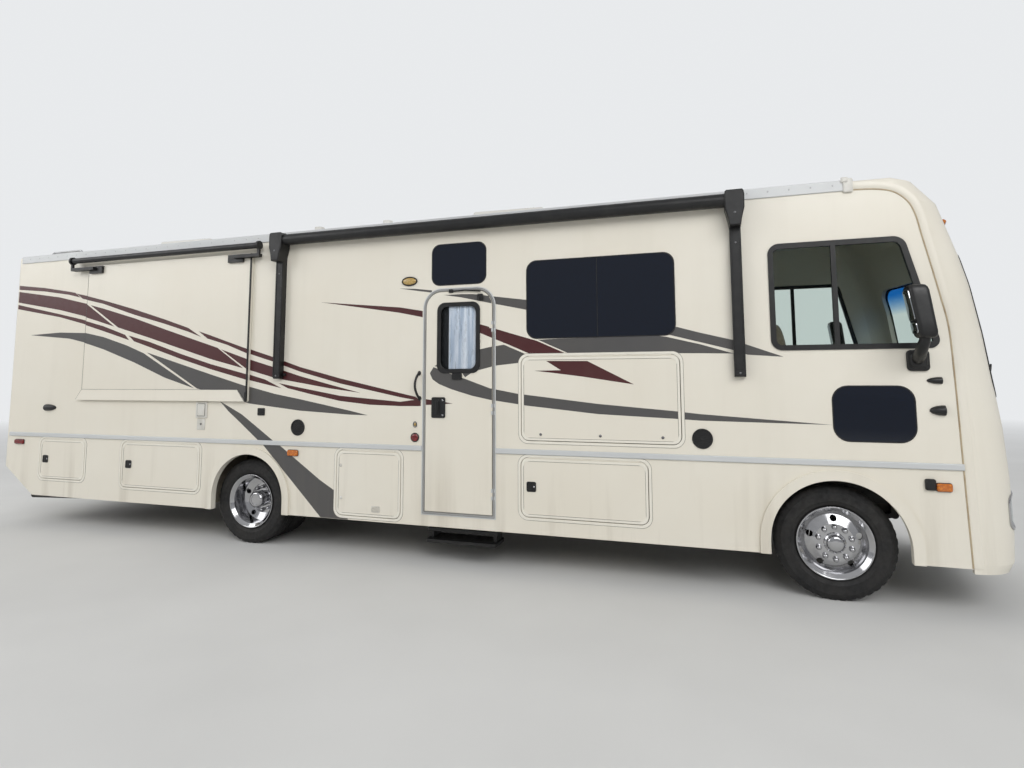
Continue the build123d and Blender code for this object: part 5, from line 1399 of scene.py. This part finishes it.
def make_floor():
    """Pale floor that fades to the backdrop far off, for camera rays."""
    mesh = bpy.data.meshes.new("floor")
    mesh.from_pydata([(x * FLOOR_REACH, y * FLOOR_REACH, 0) for x, y in SQUARE], [], [(0, 1, 2, 3)])
    ground = bpy.data.objects.new("floor", mesh)
    bpy.context.scene.collection.objects.link(ground)
    look = Look("floor_paint", rgb(214, 214, 212), 0.8)
    look.set("Base Color", look.blend(look.patches(0.5, 3, 0.3, 0.7), rgb(216, 216, 214), rgb(208, 208, 206)))
    far = look.span(look.node("VectorMath", {0: look.spot}, "Value", "LENGTH"), FADE_START, FADE_END)
    glow = look.node("Emission", {"Color": BACKDROP, "Strength": BACKDROP_LIGHT})
    seen = look.node("LightPath", {}, "Is Camera Ray")
    look.show(look.node("MixShader", {0: look.times(far, seen), 1: look.shader.outputs[0], 2: glow}))
    mesh.materials.append(look.material)


def make_world():
    """Studio light from above, and a plain backdrop for camera and transmission rays."""
    world = bpy.data.worlds.new("studio")
    bpy.context.scene.world = world
    world.use_nodes = True
    tree = world.node_tree
    spot = add_node(tree, "TexCoord", {}, "Generated")
    sky = add_node(tree, "ValToRGB", {0: add_node(tree, "SeparateXYZ", {0: spot}, 2)})
    low, high = sky.node.color_ramp.elements
    low.position, low.color = 0.0, rgb(206, 208, 211)
    high.position, high.color = 0.7, rgb(240, 241, 243)
    lit = tree.nodes["Background"]
    tree.links.new(sky, lit.inputs["Color"])
    lit.inputs["Strength"].default_value = STUDIO_LIGHT
    backdrop = add_node(tree, "Background", {"Color": BACKDROP, "Strength": BACKDROP_LIGHT})
    rays = [add_node(tree, "LightPath", {}, word) for word in ("Is Camera Ray", "Is Transmission Ray")]
    either = add_node(tree, "Math", {0: rays[0], 1: rays[1]}, operation="MAXIMUM")
    mixed = add_node(tree, "MixShader", {0: either, 1: lit.outputs[0], 2: backdrop})
    tree.links.new(mixed, tree.nodes["World Output"].inputs["Surface"])


# Lamps: name, place, target, width and height, power in watts
LIGHTS = (
    ("key", (9, -13, 10), (0, 0, 1.5), (12, 8), 1250),
    ("fill", (-12, -9, 8), (-2, 0, 1.5), (10, 8), 620),
    ("rim", (-3, 14, 10), (0, 0, 1.5), (14, 6), 900),
)


def add_area(name, location, target, size, power):
    lamp = bpy.data.lights.new(name, "AREA")
    lamp.shape = "RECTANGLE"
    lamp.size, lamp.size_y = size
    lamp.energy = power
    holder = bpy.data.objects.new(name, lamp)
    bpy.context.scene.collection.objects.link(holder)
    holder.location = location
    aim = Vector(target) - Vector(location)
    holder.rotation_euler = aim.to_track_quat("-Z", "Y").to_euler()


# Camera as fitted to the photo: millimetres, pixels and degrees
CAMERA_PLACE = (3.218, -6.750, 1.778)
CAMERA_AIM = (-0.3079, 0.9468, 0.0937)
CAMERA_ROLL = -0.16
FOCAL_PIXELS = 600
SENSOR_WIDTH = 36
IMAGE_WIDTH = 1024
IMAGE_HEIGHT = 768
CENTRE_ROW = 323.7


def make_camera():
    camera = bpy.data.cameras.new("camera")
    camera.sensor_width = SENSOR_WIDTH
    camera.lens = SENSOR_WIDTH * FOCAL_PIXELS / IMAGE_WIDTH
    camera.shift_y = (CENTRE_ROW - IMAGE_HEIGHT / 2) / IMAGE_WIDTH
    camera.clip_end = 200
    holder = bpy.data.objects.new("camera", camera)
    bpy.context.scene.collection.objects.link(holder)
    turn = Vector(CAMERA_AIM).to_track_quat("-Z", "Y").to_matrix().to_4x4()
    roll = Matrix.Rotation(math.radians(CAMERA_ROLL), 4, "Z")
    holder.matrix_world = Matrix.Translation(CAMERA_PLACE) @ turn @ roll
    bpy.context.scene.camera = holder


finish_nodes()
make_stripes()
make_tyres()
make_wheel_trim()
make_doors()
make_entry_fittings()
make_entry_window()
make_side_fittings()
make_mirrors()
make_awning_details()
make_rail_pieces()
make_rear_fittings()
make_marker_lamps()
make_cap_seam()
make_windows()
make_slide_details()
make_front_details()
make_cab()
make_roof_details()
make_floor()
make_world()
for light in LIGHTS:
    add_area(*light)
make_camera()
bpy.context.scene.view_settings.view_transform = "Standard"
bpy.context.view_layer.update()
